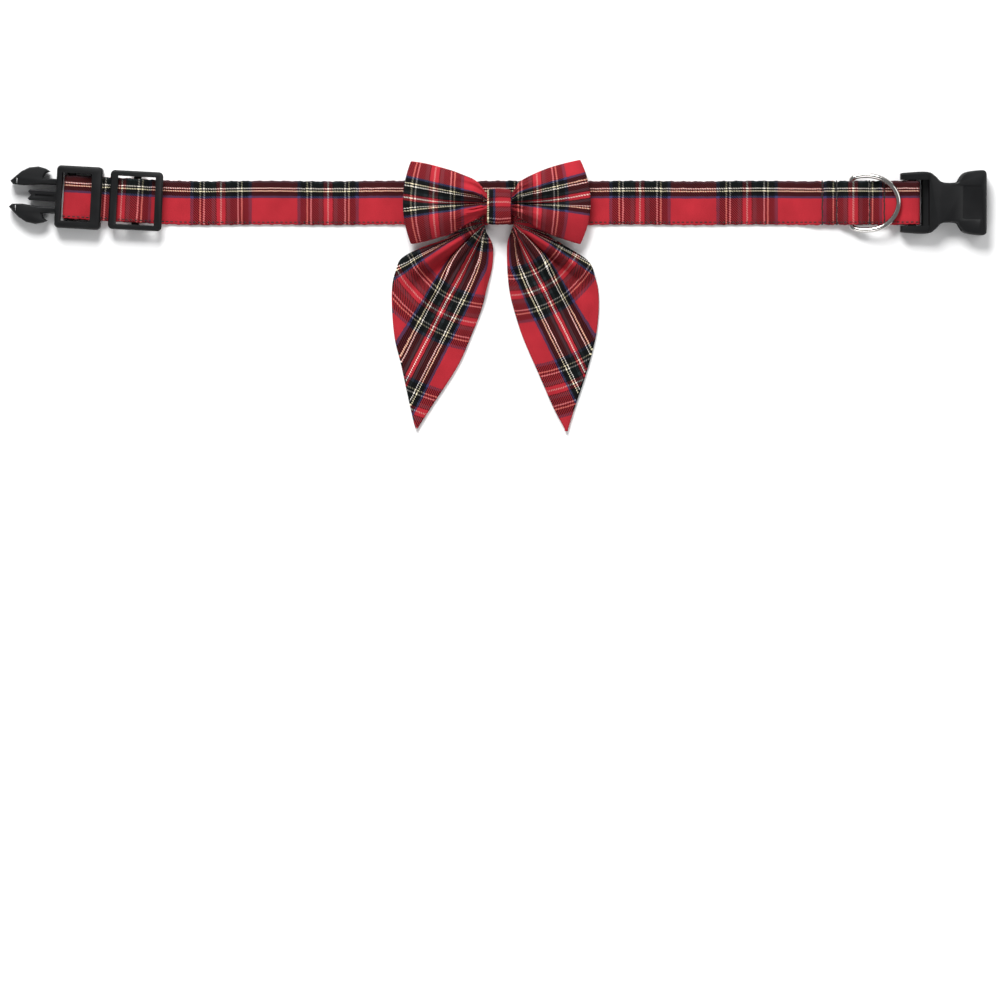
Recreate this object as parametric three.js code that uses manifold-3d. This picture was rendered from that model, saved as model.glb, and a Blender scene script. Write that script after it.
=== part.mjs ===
import * as THREE from "three";
import { mergeVertices } from "three/addons/utils/BufferGeometryUtils.js";
import Module from "manifold-3d";

const wasm = await Module();
wasm.setup();

// A dog collar with a bow, lying flat, open and front up. All lengths are in millimetres.
// X runs along the strap towards the socket, Y across it towards the strap's top edge, Z up from the table.
// Until the last lines x = 0 is the middle of the knot, y = 0 the strap's middle and z = 0 the table.

// Driving dimensions: clearances
const GAP = 0.3;
const PLUG_CLEARANCE = 0.4;
const SEW_OVERLAP = 0.1;

// Driving dimensions: strap
const STRAP_WIDTH = 25;
const STRAP_THICK = 1.8;
const STRAP_RIGHT = 239.4;
const STRAP_LEFT = 248;
const RIGHT_FLAP = 59.3;
const LEFT_FLAP_REACH = 23;
const FOLD_RADIUS = 2.4;
const STEP_LENGTH = 8;
const TURN_START = 168;
const TURN_LENGTH = 36;
const TURN_ANGLE = THREE.MathUtils.degToRad(3.2);

// Driving dimensions: leash ring
const RING_WIRE = 3;
const RING_WIDTH = 34;
const RING_REACH = 28.5;
const RING_CORNER = 2.8;
const RING_CORNER_REACH = 7;
const RING_STRAIGHT = 0.33;
const RING_FROM_FOLD = 38.8;
const TUNNEL_LENGTH = 18.5;
const RING_SIDES = 8;

// Driving dimensions: socket
const SOCKET_LENGTH = 32.5;
const SOCKET_HALF = 18.5;
const SOCKET_HEIGHT = 11;
const SOCKET_SLOT = 7.2;
const SOCKET_BAR_WIDTH = 4.6;
const SOCKET_BAR_HEIGHT = 3.2;
const SOCKET_ARM_HEIGHT = 8;
const SOCKET_ARM_BACK = 4.6;
const SOCKET_REAR_WALL = 2.1;
const SOCKET_CHAMFER = 0.9;
const SILL_REACH = 4;
const SILL_HEIGHT = 3.2;
const POCKET_START = 0.18;
const LIP_SHARE = 0.83;
const TIP_SHARE = 0.63;
const PANEL_DEPTH = 0.4;
const PANEL_START = 0.58;
const PANEL_END = 0.92;
const PANEL_SHARE = 0.52;
const BACK_SLOT_NEAR = 0.29;
const BACK_SLOT_FAR = 0.5;
const BACK_SLOT_LENGTH = 3.7;
const SOCKET_BAR_ROUND = 1.2;
const PANEL_CORNER = 1.5;
const ARM_ZONE_FRONT = 2;

// Driving dimensions: plug
const PLUG_HEIGHT = 9.4;
const PLUG_FRAME_LENGTH = 26;
const PLUG_FRAME_HALF = 17.8;
const PLUG_BAR_WIDTH = 6;
const PLUG_BASE_LENGTH = 3;
const PLUG_PIN_WIDTH = 4.4;
const PLUG_PIN_HEIGHT = 3;
const PLUG_PLAY = 0.7;
const ARM_LENGTH = 27.4;
const ARM_HALF = 16.4;
const ARM_HEIGHT = 7;
const ARM_CHAMFER = 0.7;
const HOOK_PLACE = 0.28;
const ARM_SLOT_PLACE = 0.87;
const ARM_SLOT_SIDE = 0.47;
const GUIDE_LENGTH = 16.6;
const GUIDE_WIDTH = 6;
const GUIDE_HEIGHT = 4.4;
const GUIDE_CHAMFER = 0.4;
const GUIDE_NOTCH = 2;
const GUIDE_CORNER = 1;
const GUIDE_ROOT = 1;
const GROOVE_END = 4;
const GROOVE_ROOT = 2;
const GROOVE_HALF = 0.7;
const GROOVE_DEPTH = 1;
const PLUG_CORNER = 2.4;
const PLUG_CHAMFER = 0.9;
const PLUG_PIN_ROUND = 1.1;
const PLUG_FOOT = 1;
const ARM_ROOT = 1;
const GUIDE_SEAT = 0.5;
const ARM_SLOT_HALF = 0.5;
const ARM_SLOT_REACH = 1.6;
const RAIL_CLEARANCE = 1.2;

// Driving dimensions: slider
const SLIDER_LENGTH = 30.2;
const SLIDER_WIDTH = 33.6;
const SLIDER_BAR = 4.3;
const SLIDER_BAR_HEIGHT = 3;
const SLIDER_PIN_WIDTH = 4.4;
const SLIDER_PIN_HEIGHT = 2.4;
const SLIDER_PLACE = 206.4;
const SLIDER_CORNER = 2.6;
const SLIDER_CHAMFER = 0.8;
const SLIDER_PIN_ROUND = 0.9;

// Driving dimensions: bow
const BOW_WALL = 1.2;
const WING_HALF = 24.2;
const LEFT_WING = 50.1;
const RIGHT_WING = 46.2;
const LEFT_BULGE = 4.6;
const RIGHT_BULGE = 5.9;
const LOOP_DEPTH = 11;
const VALLEY_DEPTH = 7.5;
const VALLEY_PLACE = -0.06;
const VALLEY_WIDTH = 0.26;
const EDGE_DEPTH = 0.42;
const END_SQUARENESS = 14;
const LIFT_REACH = 52;
const KNOT_WIDTH = 13.7;
const KNOT_TOP = 8;
const KNOT_BOTTOM = 12.6;
const KNOT_HEIGHT = 12.6;
const KNOT_BULGE = 0.7;
const KNOT_SQUARENESS = 4;
const KNOT_INNER_SQUARENESS = 6;
const TAIL_SPREAD = 61;
const TAIL_DROP = 130;
const TAIL_THICK = 1.6;
const PLEAT_HEIGHT = 6;

// Driving dimensions: elastic loops
const ELASTIC_WIDTH = 11;
const ELASTIC_THICK = 1.2;
const ELASTIC_TOP = 19;
const ELASTIC_BOTTOM = 18.3;
const ELASTIC_RIGHT = 37.6;
const ELASTIC_LEFT = 35.6;

// Levels that follow from the sizes above
const sewnStep = STRAP_THICK - SEW_OVERLAP;
const strapMid = STRAP_THICK / 2;
const strapAtBow = ELASTIC_THICK + GAP + strapMid;
const bowRest = strapAtBow + strapMid + GAP;
const stackTop = 2 * sewnStep + STRAP_THICK + GAP + SEW_OVERLAP;
const barBottom = stackTop + GAP;
const tailRoot = bowRest + BOW_WALL + KNOT_BULGE + GAP;
const wingRoot = tailRoot + TAIL_THICK + GAP;

// Shapes of the bow, a row for each section, lengths as shares of the named sizes
const LEFT_WING_ROWS = [
  { out: 0.0, top: 0.2, bottom: 0.25, depth: 0.5, valley: 0.3 },
  { out: 0.145, top: 0.22, bottom: 0.26, depth: 0.56, valley: 0.38 },
  { out: 0.2, top: 0.39, bottom: 0.31, depth: 0.72, valley: 0.58 },
  { out: 0.27, top: 0.52, bottom: 0.39, depth: 0.84, valley: 0.72 },
  { out: 0.39, top: 0.636, bottom: 0.533, depth: 0.97, valley: 0.76 },
  { out: 0.51, top: 0.736, bottom: 0.7, depth: 1.0, valley: 0.6 },
  { out: 0.69, top: 0.851, bottom: 0.818, depth: 0.96, valley: 0.34 },
  { out: 0.85, top: 0.934, bottom: 0.917, depth: 0.86, valley: 0.14 },
  { out: 1.0, top: 0.983, bottom: 0.975, depth: 0.74, valley: 0.04 },
];
const RIGHT_WING_ROWS = [
  { out: 0.0, top: 0.2, bottom: 0.25, depth: 0.5, valley: 0.3 },
  { out: 0.157, top: 0.22, bottom: 0.26, depth: 0.56, valley: 0.38 },
  { out: 0.234, top: 0.455, bottom: 0.322, depth: 0.74, valley: 0.58 },
  { out: 0.32, top: 0.57, bottom: 0.421, depth: 0.87, valley: 0.72 },
  { out: 0.426, top: 0.67, bottom: 0.541, depth: 0.97, valley: 0.76 },
  { out: 0.6, top: 0.81, bottom: 0.72, depth: 1.0, valley: 0.5 },
  { out: 0.814, top: 0.934, bottom: 0.868, depth: 0.88, valley: 0.18 },
  { out: 1.0, top: 1.017, bottom: 0.983, depth: 0.74, valley: 0.04 },
];
const LEFT_TAIL_ROWS = [
  { outX: 0.007, outY: -0.019, inX: 0.007, inY: 0.046, lift: 1.0, pleat: 0.0 },
  { outX: 0.125, outY: -0.012, inX: 0.125, inY: 0.05, lift: 1.0, pleat: 0.0 },
  { outX: 0.23, outY: 0.031, inX: 0.14, inY: 0.081, lift: 0.72, pleat: 0.0 },
  { outX: 0.42, outY: 0.136, inX: 0.12, inY: 0.124, lift: 0.6, pleat: 0.03 },
  { outX: 0.751, outY: 0.203, inX: 0.06, inY: 0.181, lift: 0.34, pleat: 0.8 },
  { outX: 0.911, outY: 0.244, inX: 0.054, inY: 0.227, lift: 0.12, pleat: 1.0 },
  { outX: 0.961, outY: 0.292, inX: 0.066, inY: 0.288, lift: 0.0, pleat: 0.9 },
  { outX: 0.998, outY: 0.362, inX: 0.115, inY: 0.377, lift: 0.0, pleat: 0.7 },
  { outX: 1.0, outY: 0.462, inX: 0.162, inY: 0.465, lift: 0.0, pleat: 0.45 },
  { outX: 0.975, outY: 0.592, inX: 0.254, inY: 0.577, lift: 0.0, pleat: 0.2 },
  { outX: 0.915, outY: 0.708, inX: 0.385, inY: 0.715, lift: 0.0, pleat: 0.08 },
  { outX: 0.852, outY: 0.846, inX: 0.607, inY: 0.877, lift: 0.0, pleat: 0.0 },
  { outX: 0.8, outY: 0.954, inX: 0.702, inY: 0.946, lift: 0.0, pleat: 0.0 },
  { outX: 0.778, outY: 0.988, inX: 0.76, inY: 0.988, lift: 0.0, pleat: 0.0 },
];
const RIGHT_TAIL_ROWS = [
  { outX: 0.007, outY: -0.019, inX: 0.007, inY: 0.046, lift: 1.0, pleat: 0.0 },
  { outX: 0.125, outY: -0.012, inX: 0.125, inY: 0.05, lift: 1.0, pleat: 0.0 },
  { outX: 0.246, outY: 0.038, inX: 0.14, inY: 0.081, lift: 0.72, pleat: 0.0 },
  { outX: 0.467, outY: 0.143, inX: 0.115, inY: 0.121, lift: 0.6, pleat: 0.03 },
  { outX: 0.579, outY: 0.177, inX: 0.08, inY: 0.17, lift: 0.4, pleat: 0.7 },
  { outX: 0.831, outY: 0.255, inX: 0.074, inY: 0.221, lift: 0.12, pleat: 1.0 },
  { outX: 0.903, outY: 0.331, inX: 0.08, inY: 0.315, lift: 0.0, pleat: 0.9 },
  { outX: 0.931, outY: 0.4, inX: 0.103, inY: 0.4, lift: 0.0, pleat: 0.7 },
  { outX: 0.928, outY: 0.5, inX: 0.152, inY: 0.489, lift: 0.0, pleat: 0.45 },
  { outX: 0.895, outY: 0.608, inX: 0.225, inY: 0.592, lift: 0.0, pleat: 0.2 },
  { outX: 0.81, outY: 0.754, inX: 0.367, inY: 0.746, lift: 0.0, pleat: 0.08 },
  { outX: 0.715, outY: 0.888, inX: 0.51, inY: 0.899, lift: 0.0, pleat: 0.0 },
  { outX: 0.664, outY: 0.962, inX: 0.59, inY: 0.969, lift: 0.0, pleat: 0.0 },
  { outX: 0.638, outY: 1.0, inX: 0.622, inY: 1.0, lift: 0.0, pleat: 0.0 },
];
const TAIL_RIDGES = [
  { at: 0.2, width: 0.17, height: 0.6 },
  { at: 0.63, width: 0.11, height: 1.0 },
  { at: 0.92, width: 0.07, height: 0.85 },
];
const SOCKET_ROWS = [
  { along: -0.5, half: 0.9 },
  { along: -0.41, half: 0.925 },
  { along: -0.04, half: 0.951 },
  { along: 0.108, half: 0.811 },
  { along: 0.222, half: 0.632 },
  { along: 0.465, half: 0.622 },
  { along: 0.53, half: 0.757 },
  { along: 0.63, half: 0.935 },
  { along: 0.91, half: 1.0 },
  { along: 0.985, half: 0.95 },
  { along: 1.0, half: 0.86 },
];
const ARM_ROWS = [
  { along: 0.0, side: 0.39 },
  { along: 0.37, side: 0.385 },
  { along: 0.72, side: 0.32 },
  { along: 0.94, side: 0.34 },
  { along: 1.0, side: 0.45 },
  { along: 0.89, side: 0.63 },
  { along: 0.78, side: 0.8 },
  { along: 0.62, side: 0.95 },
  { along: 0.43, side: 1.0 },
  { along: 0.28, side: 0.94 },
  { along: 0.19, side: 0.855 },
  { along: 0.27, side: 0.78 },
  { along: 0.31, side: 0.67 },
  { along: 0.31, side: 0.61 },
  { along: 0.0, side: 0.6 },
];

// Tools for solids
const up = new THREE.Vector3(0, 0, 1);

function solidOf(geometry) {
  const bare = geometry.index ? geometry.toNonIndexed() : geometry.clone();
  bare.deleteAttribute("normal");
  bare.deleteAttribute("uv");
  const merged = mergeVertices(bare, 1e-4);
  return new wasm.Manifold(
    new wasm.Mesh({
      numProp: 3,
      vertProperties: new Float32Array(merged.attributes.position.array),
      triVerts: new Uint32Array(merged.index.array),
    }),
  );
}

function geometryOf(solid) {
  const mesh = solid.getMesh();
  const geometry = new THREE.BufferGeometry();
  geometry.setAttribute("position", new THREE.BufferAttribute(new Float32Array(mesh.vertProperties), 3));
  geometry.setIndex(new THREE.BufferAttribute(new Uint32Array(mesh.triVerts), 1));
  return geometry;
}

function joined(geometries) {
  return geometries.map(solidOf).reduce((sum, solid) => sum.add(solid));
}

// A geometry from points and triangles, turned so that its faces point out.
function closedGeometry(points, triangles) {
  let volume = 0;
  for (const [a, b, c] of triangles) {
    volume += points[a].dot(new THREE.Vector3().crossVectors(points[b], points[c]));
  }
  const turned = volume < 0 ? triangles.map(([a, b, c]) => [a, c, b]) : triangles;
  const geometry = new THREE.BufferGeometry().setFromPoints(points);
  geometry.setIndex(turned.flat());
  return geometry;
}

// A cloth wall between two faces, each a grid of points in rows. A looped wall joins its last row to its first.
function wallBetween(outer, inner, looped) {
  const rows = outer.length;
  const columns = outer[0].length;
  const points = [...outer.flat(), ...inner.flat()];
  const shift = rows * columns;
  const triangles = [];
  const quad = (a, b, c, d) => triangles.push([a, b, c], [a, c, d]);
  const spans = looped ? rows : rows - 1;
  for (let i = 0; i < spans; i += 1) {
    const here = i * columns;
    const next = ((i + 1) % rows) * columns;
    for (let j = 0; j < columns - 1; j += 1) {
      quad(here + j, next + j, next + j + 1, here + j + 1);
      quad(shift + here + j + 1, shift + next + j + 1, shift + next + j, shift + here + j);
    }
    const last = columns - 1;
    quad(shift + here, shift + next, next, here);
    quad(here + last, next + last, shift + next + last, shift + here + last);
  }
  if (!looped) {
    const end = (rows - 1) * columns;
    for (let j = 0; j < columns - 1; j += 1) {
      quad(j, j + 1, shift + j + 1, shift + j);
      quad(shift + end + j, shift + end + j + 1, end + j + 1, end + j);
    }
  }
  return closedGeometry(points, triangles);
}

// A ring that is closed along its path and round its section.
function closedTube(sections) {
  const rows = sections.length;
  const sides = sections[0].length;
  const triangles = [];
  for (let i = 0; i < rows; i += 1) {
    for (let j = 0; j < sides; j += 1) {
      const a = i * sides + j;
      const b = ((i + 1) % rows) * sides + j;
      const c = ((i + 1) % rows) * sides + ((j + 1) % sides);
      const d = i * sides + ((j + 1) % sides);
      triangles.push([a, b, c], [a, c, d]);
    }
  }
  return closedGeometry(sections.flat(), triangles);
}

// A flat plate with chamfered edges, between two heights.
function plate(shape, bottom, top, chamfer = 0) {
  const geometry = new THREE.ExtrudeGeometry(shape, {
    depth: top - bottom - 2 * chamfer,
    bevelEnabled: chamfer > 0,
    bevelThickness: chamfer,
    bevelSize: chamfer,
    bevelOffset: -chamfer,
    bevelSegments: 1,
    curveSegments: 4,
  });
  return geometry.translate(0, 0, bottom + chamfer);
}

function block(xFrom, xTo, yFrom, yTo, zFrom, zTo) {
  const geometry = new THREE.BoxGeometry(xTo - xFrom, yTo - yFrom, zTo - zFrom);
  return geometry.translate((xFrom + xTo) / 2, (yFrom + yTo) / 2, (zFrom + zTo) / 2);
}

function roundedRectangle(xFrom, xTo, yFrom, yTo, radius) {
  const shape = new THREE.Shape();
  shape.moveTo(xFrom + radius, yFrom);
  shape.lineTo(xTo - radius, yFrom);
  shape.absarc(xTo - radius, yFrom + radius, radius, -Math.PI / 2, 0);
  shape.lineTo(xTo, yTo - radius);
  shape.absarc(xTo - radius, yTo - radius, radius, 0, Math.PI / 2);
  shape.lineTo(xFrom + radius, yTo);
  shape.absarc(xFrom + radius, yTo - radius, radius, Math.PI / 2, Math.PI);
  shape.lineTo(xFrom, yFrom + radius);
  shape.absarc(xFrom + radius, yFrom + radius, radius, Math.PI, 1.5 * Math.PI);
  return shape;
}

// A bar along Y with a rounded rectangle for its section.
function crossBar(xFrom, xTo, zFrom, zTo, halfLength, radius) {
  const geometry = plate(roundedRectangle(xFrom, xTo, zFrom, zTo, radius), -halfLength, halfLength);
  return geometry.rotateX(Math.PI / 2);
}

// Tools for cloth strips

// The corners of a path rounded by short curves that never leave the corner's triangle.
function roundedPath(corners, radius) {
  const path = [corners[0]];
  for (let i = 1; i < corners.length - 1; i += 1) {
    const corner = corners[i];
    const before = corners[i - 1].clone().sub(corner);
    const after = corners[i + 1].clone().sub(corner);
    const start = corner.clone().add(before.setLength(Math.min(radius, before.length() / 2)));
    const end = corner.clone().add(after.setLength(Math.min(radius, after.length() / 2)));
    path.push(...new THREE.QuadraticBezierCurve(start, corner, end).getPoints(4));
  }
  path.push(corners[corners.length - 1]);
  return path.filter((point, i) => i === 0 || point.distanceTo(path[i - 1]) > 1e-3);
}

// The two sides of a strip whose middle follows a path of 2D points.
function stripShape(path, thick) {
  const left = [];
  const right = [];
  path.forEach((point, i) => {
    const back = i > 0 ? point.clone().sub(path[i - 1]).normalize() : null;
    const ahead = i < path.length - 1 ? path[i + 1].clone().sub(point).normalize() : null;
    const along = (back ?? ahead).clone().add(ahead ?? back).normalize();
    const stretch = thick / 2 / Math.max(along.dot(ahead ?? back), 0.5);
    const side = new THREE.Vector2(-along.y, along.x).multiplyScalar(stretch);
    left.push(point.clone().add(side));
    right.push(point.clone().sub(side));
  });
  return new THREE.Shape([...left, ...right.reverse()]);
}

// A strip of cloth as wide as stated, its path lying in the XZ plane.
function strip(corners, thick, width) {
  const path = roundedPath(corners.map(([x, z]) => new THREE.Vector2(x, z)), FOLD_RADIUS);
  return crossWise(stripShape(path, thick), width);
}

function crossWise(shape, width) {
  return plate(shape, -width / 2, width / 2).rotateX(Math.PI / 2);
}

// The strap's slow turn at its left end: where a point of the straight strap comes to lie.
function layAlong(geometry) {
  const radius = TURN_LENGTH / TURN_ANGLE;
  const position = geometry.attributes.position;
  for (let i = 0; i < position.count; i += 1) {
    const past = -TURN_START - position.getX(i);
    if (past > 0) {
      const y = position.getY(i);
      const turn = Math.min(past / radius, TURN_ANGLE);
      const straight = Math.max(past - TURN_LENGTH, 0);
      const reach = (radius - y) * Math.sin(turn) + straight * Math.cos(turn);
      position.setX(i, -TURN_START - reach);
      position.setY(i, radius - (radius - y) * Math.cos(turn) + straight * Math.sin(turn));
    }
  }
  return geometry;
}

function meshOf(name, geometry, color, roughness, metalness) {
  geometry.computeVertexNormals();
  const mesh = new THREE.Mesh(geometry, new THREE.MeshStandardMaterial({ color, roughness, metalness }));
  mesh.name = name;
  return mesh;
}

// Strap

const socketBarX = STRAP_RIGHT - STRAP_THICK - GAP - SOCKET_BAR_WIDTH / 2;
const socketBarZ = SOCKET_HEIGHT / 2;
const ringX = STRAP_RIGHT - RING_FROM_FOLD;
const ringZ = STRAP_THICK + GAP + RING_WIRE / 2;
const plugPinX = -STRAP_LEFT + STRAP_THICK + GAP + PLUG_PIN_WIDTH / 2;
const layerUp = GAP + strapMid;
const frameLeft = -STRAP_LEFT - GAP - PLUG_PLAY;
const plugBarLeft = frameLeft - PLUG_BASE_LENGTH + PLUG_FRAME_LENGTH - PLUG_BAR_WIDTH;

// The right end's levels: the layers under and over the socket's bar, and the sewn layers before it.
const foldAtSocket = STRAP_RIGHT - strapMid;
const underSocketBar = socketBarZ - SOCKET_BAR_HEIGHT / 2 - layerUp;
const overSocketBar = socketBarZ + SOCKET_BAR_HEIGHT / 2 + layerUp;
const socketBarLeft = socketBarX - SOCKET_BAR_WIDTH / 2;
const sewnMid = strapMid + sewnStep;
const tunnelStart = ringX - TUNNEL_LENGTH * 0.44;
const tunnelEnd = ringX + TUNNEL_LENGTH * 0.56;
const sewnEnd = tunnelEnd + STEP_LENGTH;

// The right end: a flap under the strap, folded round the socket's bar, with a tunnel for the ring's bar.
function rightEndStrips() {
  const flapEnd = STRAP_RIGHT - RIGHT_FLAP;
  const humpMid = ringZ + RING_WIRE / 2 + layerUp;
  const humpHalf = RING_WIRE / 2 + GAP;
  const lower = [
    [flapEnd, strapMid],
    [sewnEnd, strapMid],
    [socketBarLeft - STRAP_THICK, underSocketBar],
    [foldAtSocket, underSocketBar],
    [foldAtSocket, socketBarZ],
    [foldAtSocket, socketBarZ + GAP],
  ];
  const upper = [
    [foldAtSocket, socketBarZ - GAP],
    [foldAtSocket, socketBarZ],
    [foldAtSocket, overSocketBar],
    [socketBarLeft, overSocketBar],
    [sewnEnd, sewnMid],
    [tunnelEnd, sewnMid],
    [ringX + humpHalf, humpMid],
    [ringX - humpHalf, humpMid],
    [tunnelStart, sewnMid],
    [flapEnd, sewnMid],
    [flapEnd - STEP_LENGTH, strapMid],
    [ELASTIC_RIGHT + ELASTIC_WIDTH / 2 + FOLD_RADIUS + STEP_LENGTH, strapMid],
    [ELASTIC_RIGHT + ELASTIC_WIDTH / 2 + FOLD_RADIUS, strapAtBow],
    [0, strapAtBow],
  ];
  return [lower, upper];
}

// The left end: over the slider's pin, round the plug's pin, back below and round the slider's pin.
function leftEndStrips() {
  const foldX = -STRAP_LEFT + strapMid;
  const pinTop = STRAP_THICK + GAP + PLUG_PIN_HEIGHT;
  const overPin = pinTop + layerUp;
  const stackMain = stackTop - strapMid;
  const stackReturn = strapMid + sewnStep;
  const sliderPinTop = STRAP_THICK + GAP + SLIDER_PIN_HEIGHT;
  const returnOver = sliderPinTop + layerUp;
  const mainOver = returnOver + STRAP_THICK + GAP;
  const sliderHalf = SLIDER_PIN_WIDTH / 2;
  const sliderFold = -SLIDER_PLACE + sliderHalf + layerUp;
  const sliderLeft = -SLIDER_PLACE - SLIDER_LENGTH / 2;
  const sliderRight = -SLIDER_PLACE + SLIDER_LENGTH / 2;
  const flapEnd = -SLIDER_PLACE - LEFT_FLAP_REACH;
  const plugBarEnd = plugPinX + PLUG_PIN_WIDTH / 2;
  const foldMid = STRAP_THICK + GAP + PLUG_PIN_HEIGHT / 2;
  const sliderFoldMid = STRAP_THICK + GAP + SLIDER_PIN_HEIGHT / 2;
  const main = [
    [0, strapAtBow],
    [-ELASTIC_LEFT - ELASTIC_WIDTH / 2 - FOLD_RADIUS, strapAtBow],
    [-ELASTIC_LEFT - ELASTIC_WIDTH / 2 - FOLD_RADIUS - STEP_LENGTH, strapMid],
    [-TURN_START, strapMid],
    [-TURN_START - TURN_LENGTH / 6, strapMid],
    [-TURN_START - TURN_LENGTH / 3, strapMid],
    [sliderRight + SLIDER_BAR / 2, strapMid],
    [sliderRight - SLIDER_BAR, stackReturn + STRAP_THICK / 2],
    [-SLIDER_PLACE + sliderHalf, mainOver],
    [-SLIDER_PLACE - sliderHalf, mainOver],
    [sliderLeft + SLIDER_BAR + STRAP_THICK, stackMain],
    [plugBarLeft, stackMain],
    [plugBarEnd + STRAP_THICK, overPin],
    [foldX, overPin],
    [foldX, foldMid],
    [foldX, foldMid - GAP],
  ];
  const below = [
    [foldX, foldMid + GAP],
    [foldX, foldMid],
    [foldX, strapMid],
    [flapEnd - 2 * STRAP_THICK, strapMid],
    [flapEnd + STRAP_THICK, stackReturn],
    [sliderLeft + SLIDER_BAR + STRAP_THICK, stackReturn],
    [-SLIDER_PLACE - sliderHalf, returnOver],
    [sliderFold, returnOver],
    [sliderFold, sliderFoldMid],
    [sliderFold, sliderFoldMid - GAP],
  ];
  const flap = [
    [sliderFold, sliderFoldMid + GAP],
    [sliderFold, sliderFoldMid],
    [sliderFold, strapMid],
    [flapEnd, strapMid],
  ];
  return [main, below, flap];
}

function strapBody() {
  const strips = [...rightEndStrips(), ...leftEndStrips()];
  const solid = joined(strips.map((corners) => strip(corners, STRAP_THICK, STRAP_WIDTH)));
  return layAlong(geometryOf(solid));
}

// Leash ring: a straight bar, two long round corners, and half an ellipse.

function ringPath() {
  const half = RING_WIDTH / 2 - RING_WIRE / 2;
  const reach = RING_REACH - RING_WIRE / 2;
  const long = RING_CORNER_REACH;
  const barHalf = half - RING_CORNER;
  const path = new THREE.Path();
  path.moveTo(0, -barHalf);
  path.lineTo(0, barHalf);
  path.absellipse(long, barHalf, long, RING_CORNER, Math.PI, Math.PI / 2, true);
  const centre = reach * RING_STRAIGHT;
  path.lineTo(centre, half);
  path.absellipse(centre, 0, reach - centre, half, Math.PI / 2, -Math.PI / 2, true);
  path.lineTo(long, -half);
  path.absellipse(long, -barHalf, long, RING_CORNER, -Math.PI / 2, -Math.PI, true);
  const points = path.getPoints(7);
  return points.filter((point, i) => i === 0 || point.distanceTo(points[i - 1]) > 0.05).slice(0, -1);
}

function ringBody() {
  const path = ringPath();
  const sections = path.map((point, i) => {
    const before = path[(i + path.length - 1) % path.length];
    const after = path[(i + 1) % path.length];
    const along = after.clone().sub(before).normalize();
    const side = new THREE.Vector3(-along.y, along.x, 0);
    return Array.from({ length: RING_SIDES }, (_, k) => {
      const angle = (2 * Math.PI * (k + 0.5)) / RING_SIDES;
      const section = side.clone().multiplyScalar(Math.cos(angle)).addScaledVector(up, Math.sin(angle));
      return new THREE.Vector3(point.x, point.y, 0).addScaledVector(section, RING_WIRE / 2);
    });
  });
  return closedTube(sections);
}

// The ring's end lies on the strap where it climbs to the socket's bar, which settles the ring's tilt.
function ringTilt() {
  const reach = RING_REACH - RING_WIRE / 2;
  const slope = Math.atan2(overSocketBar - sewnMid, socketBarLeft - sewnEnd);
  const above = (strapMid + GAP + RING_WIRE / 2) / Math.cos(slope);
  let tilt = 0;
  for (let round = 0; round < 8; round += 1) {
    const endX = ringX + reach * Math.cos(tilt);
    const endZ = sewnMid + Math.max(endX - sewnEnd, 0) * Math.tan(slope) + above;
    tilt = Math.asin((endZ - ringZ) / reach);
  }
  return tilt;
}

// Socket

const socketRear = socketBarX + SOCKET_BAR_WIDTH / 2 + SOCKET_SLOT;
const slotHalf = STRAP_WIDTH / 2 + 2 * GAP;

function socketShape() {
  const spots = SOCKET_ROWS.map(({ along, half }) => {
    return new THREE.Vector2(along * SOCKET_LENGTH, half * SOCKET_HALF);
  });
  const mirrored = spots.map((spot) => new THREE.Vector2(spot.x, -spot.y)).reverse();
  const shape = new THREE.Shape();
  shape.moveTo(spots[0].x, spots[0].y);
  shape.splineThru(spots.slice(1));
  shape.lineTo(mirrored[0].x, mirrored[0].y);
  shape.splineThru(mirrored.slice(1));
  return shape;
}

// A low sill closes most of the slot's bottom and leaves a gap for the strap's fold.
function socketSill() {
  const profile = [
    [1, 0],
    [-SILL_REACH + SOCKET_CHAMFER, 0],
    [-SILL_REACH, SOCKET_CHAMFER],
    [-SILL_REACH, SILL_HEIGHT - SOCKET_CHAMFER],
    [-SILL_REACH + SOCKET_CHAMFER, SILL_HEIGHT],
    [1, SILL_HEIGHT],
  ];
  const shape = new THREE.Shape(profile.map(([x, z]) => new THREE.Vector2(x, z)));
  return solidOf(crossWise(shape, 2 * slotHalf + 1));
}

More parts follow.
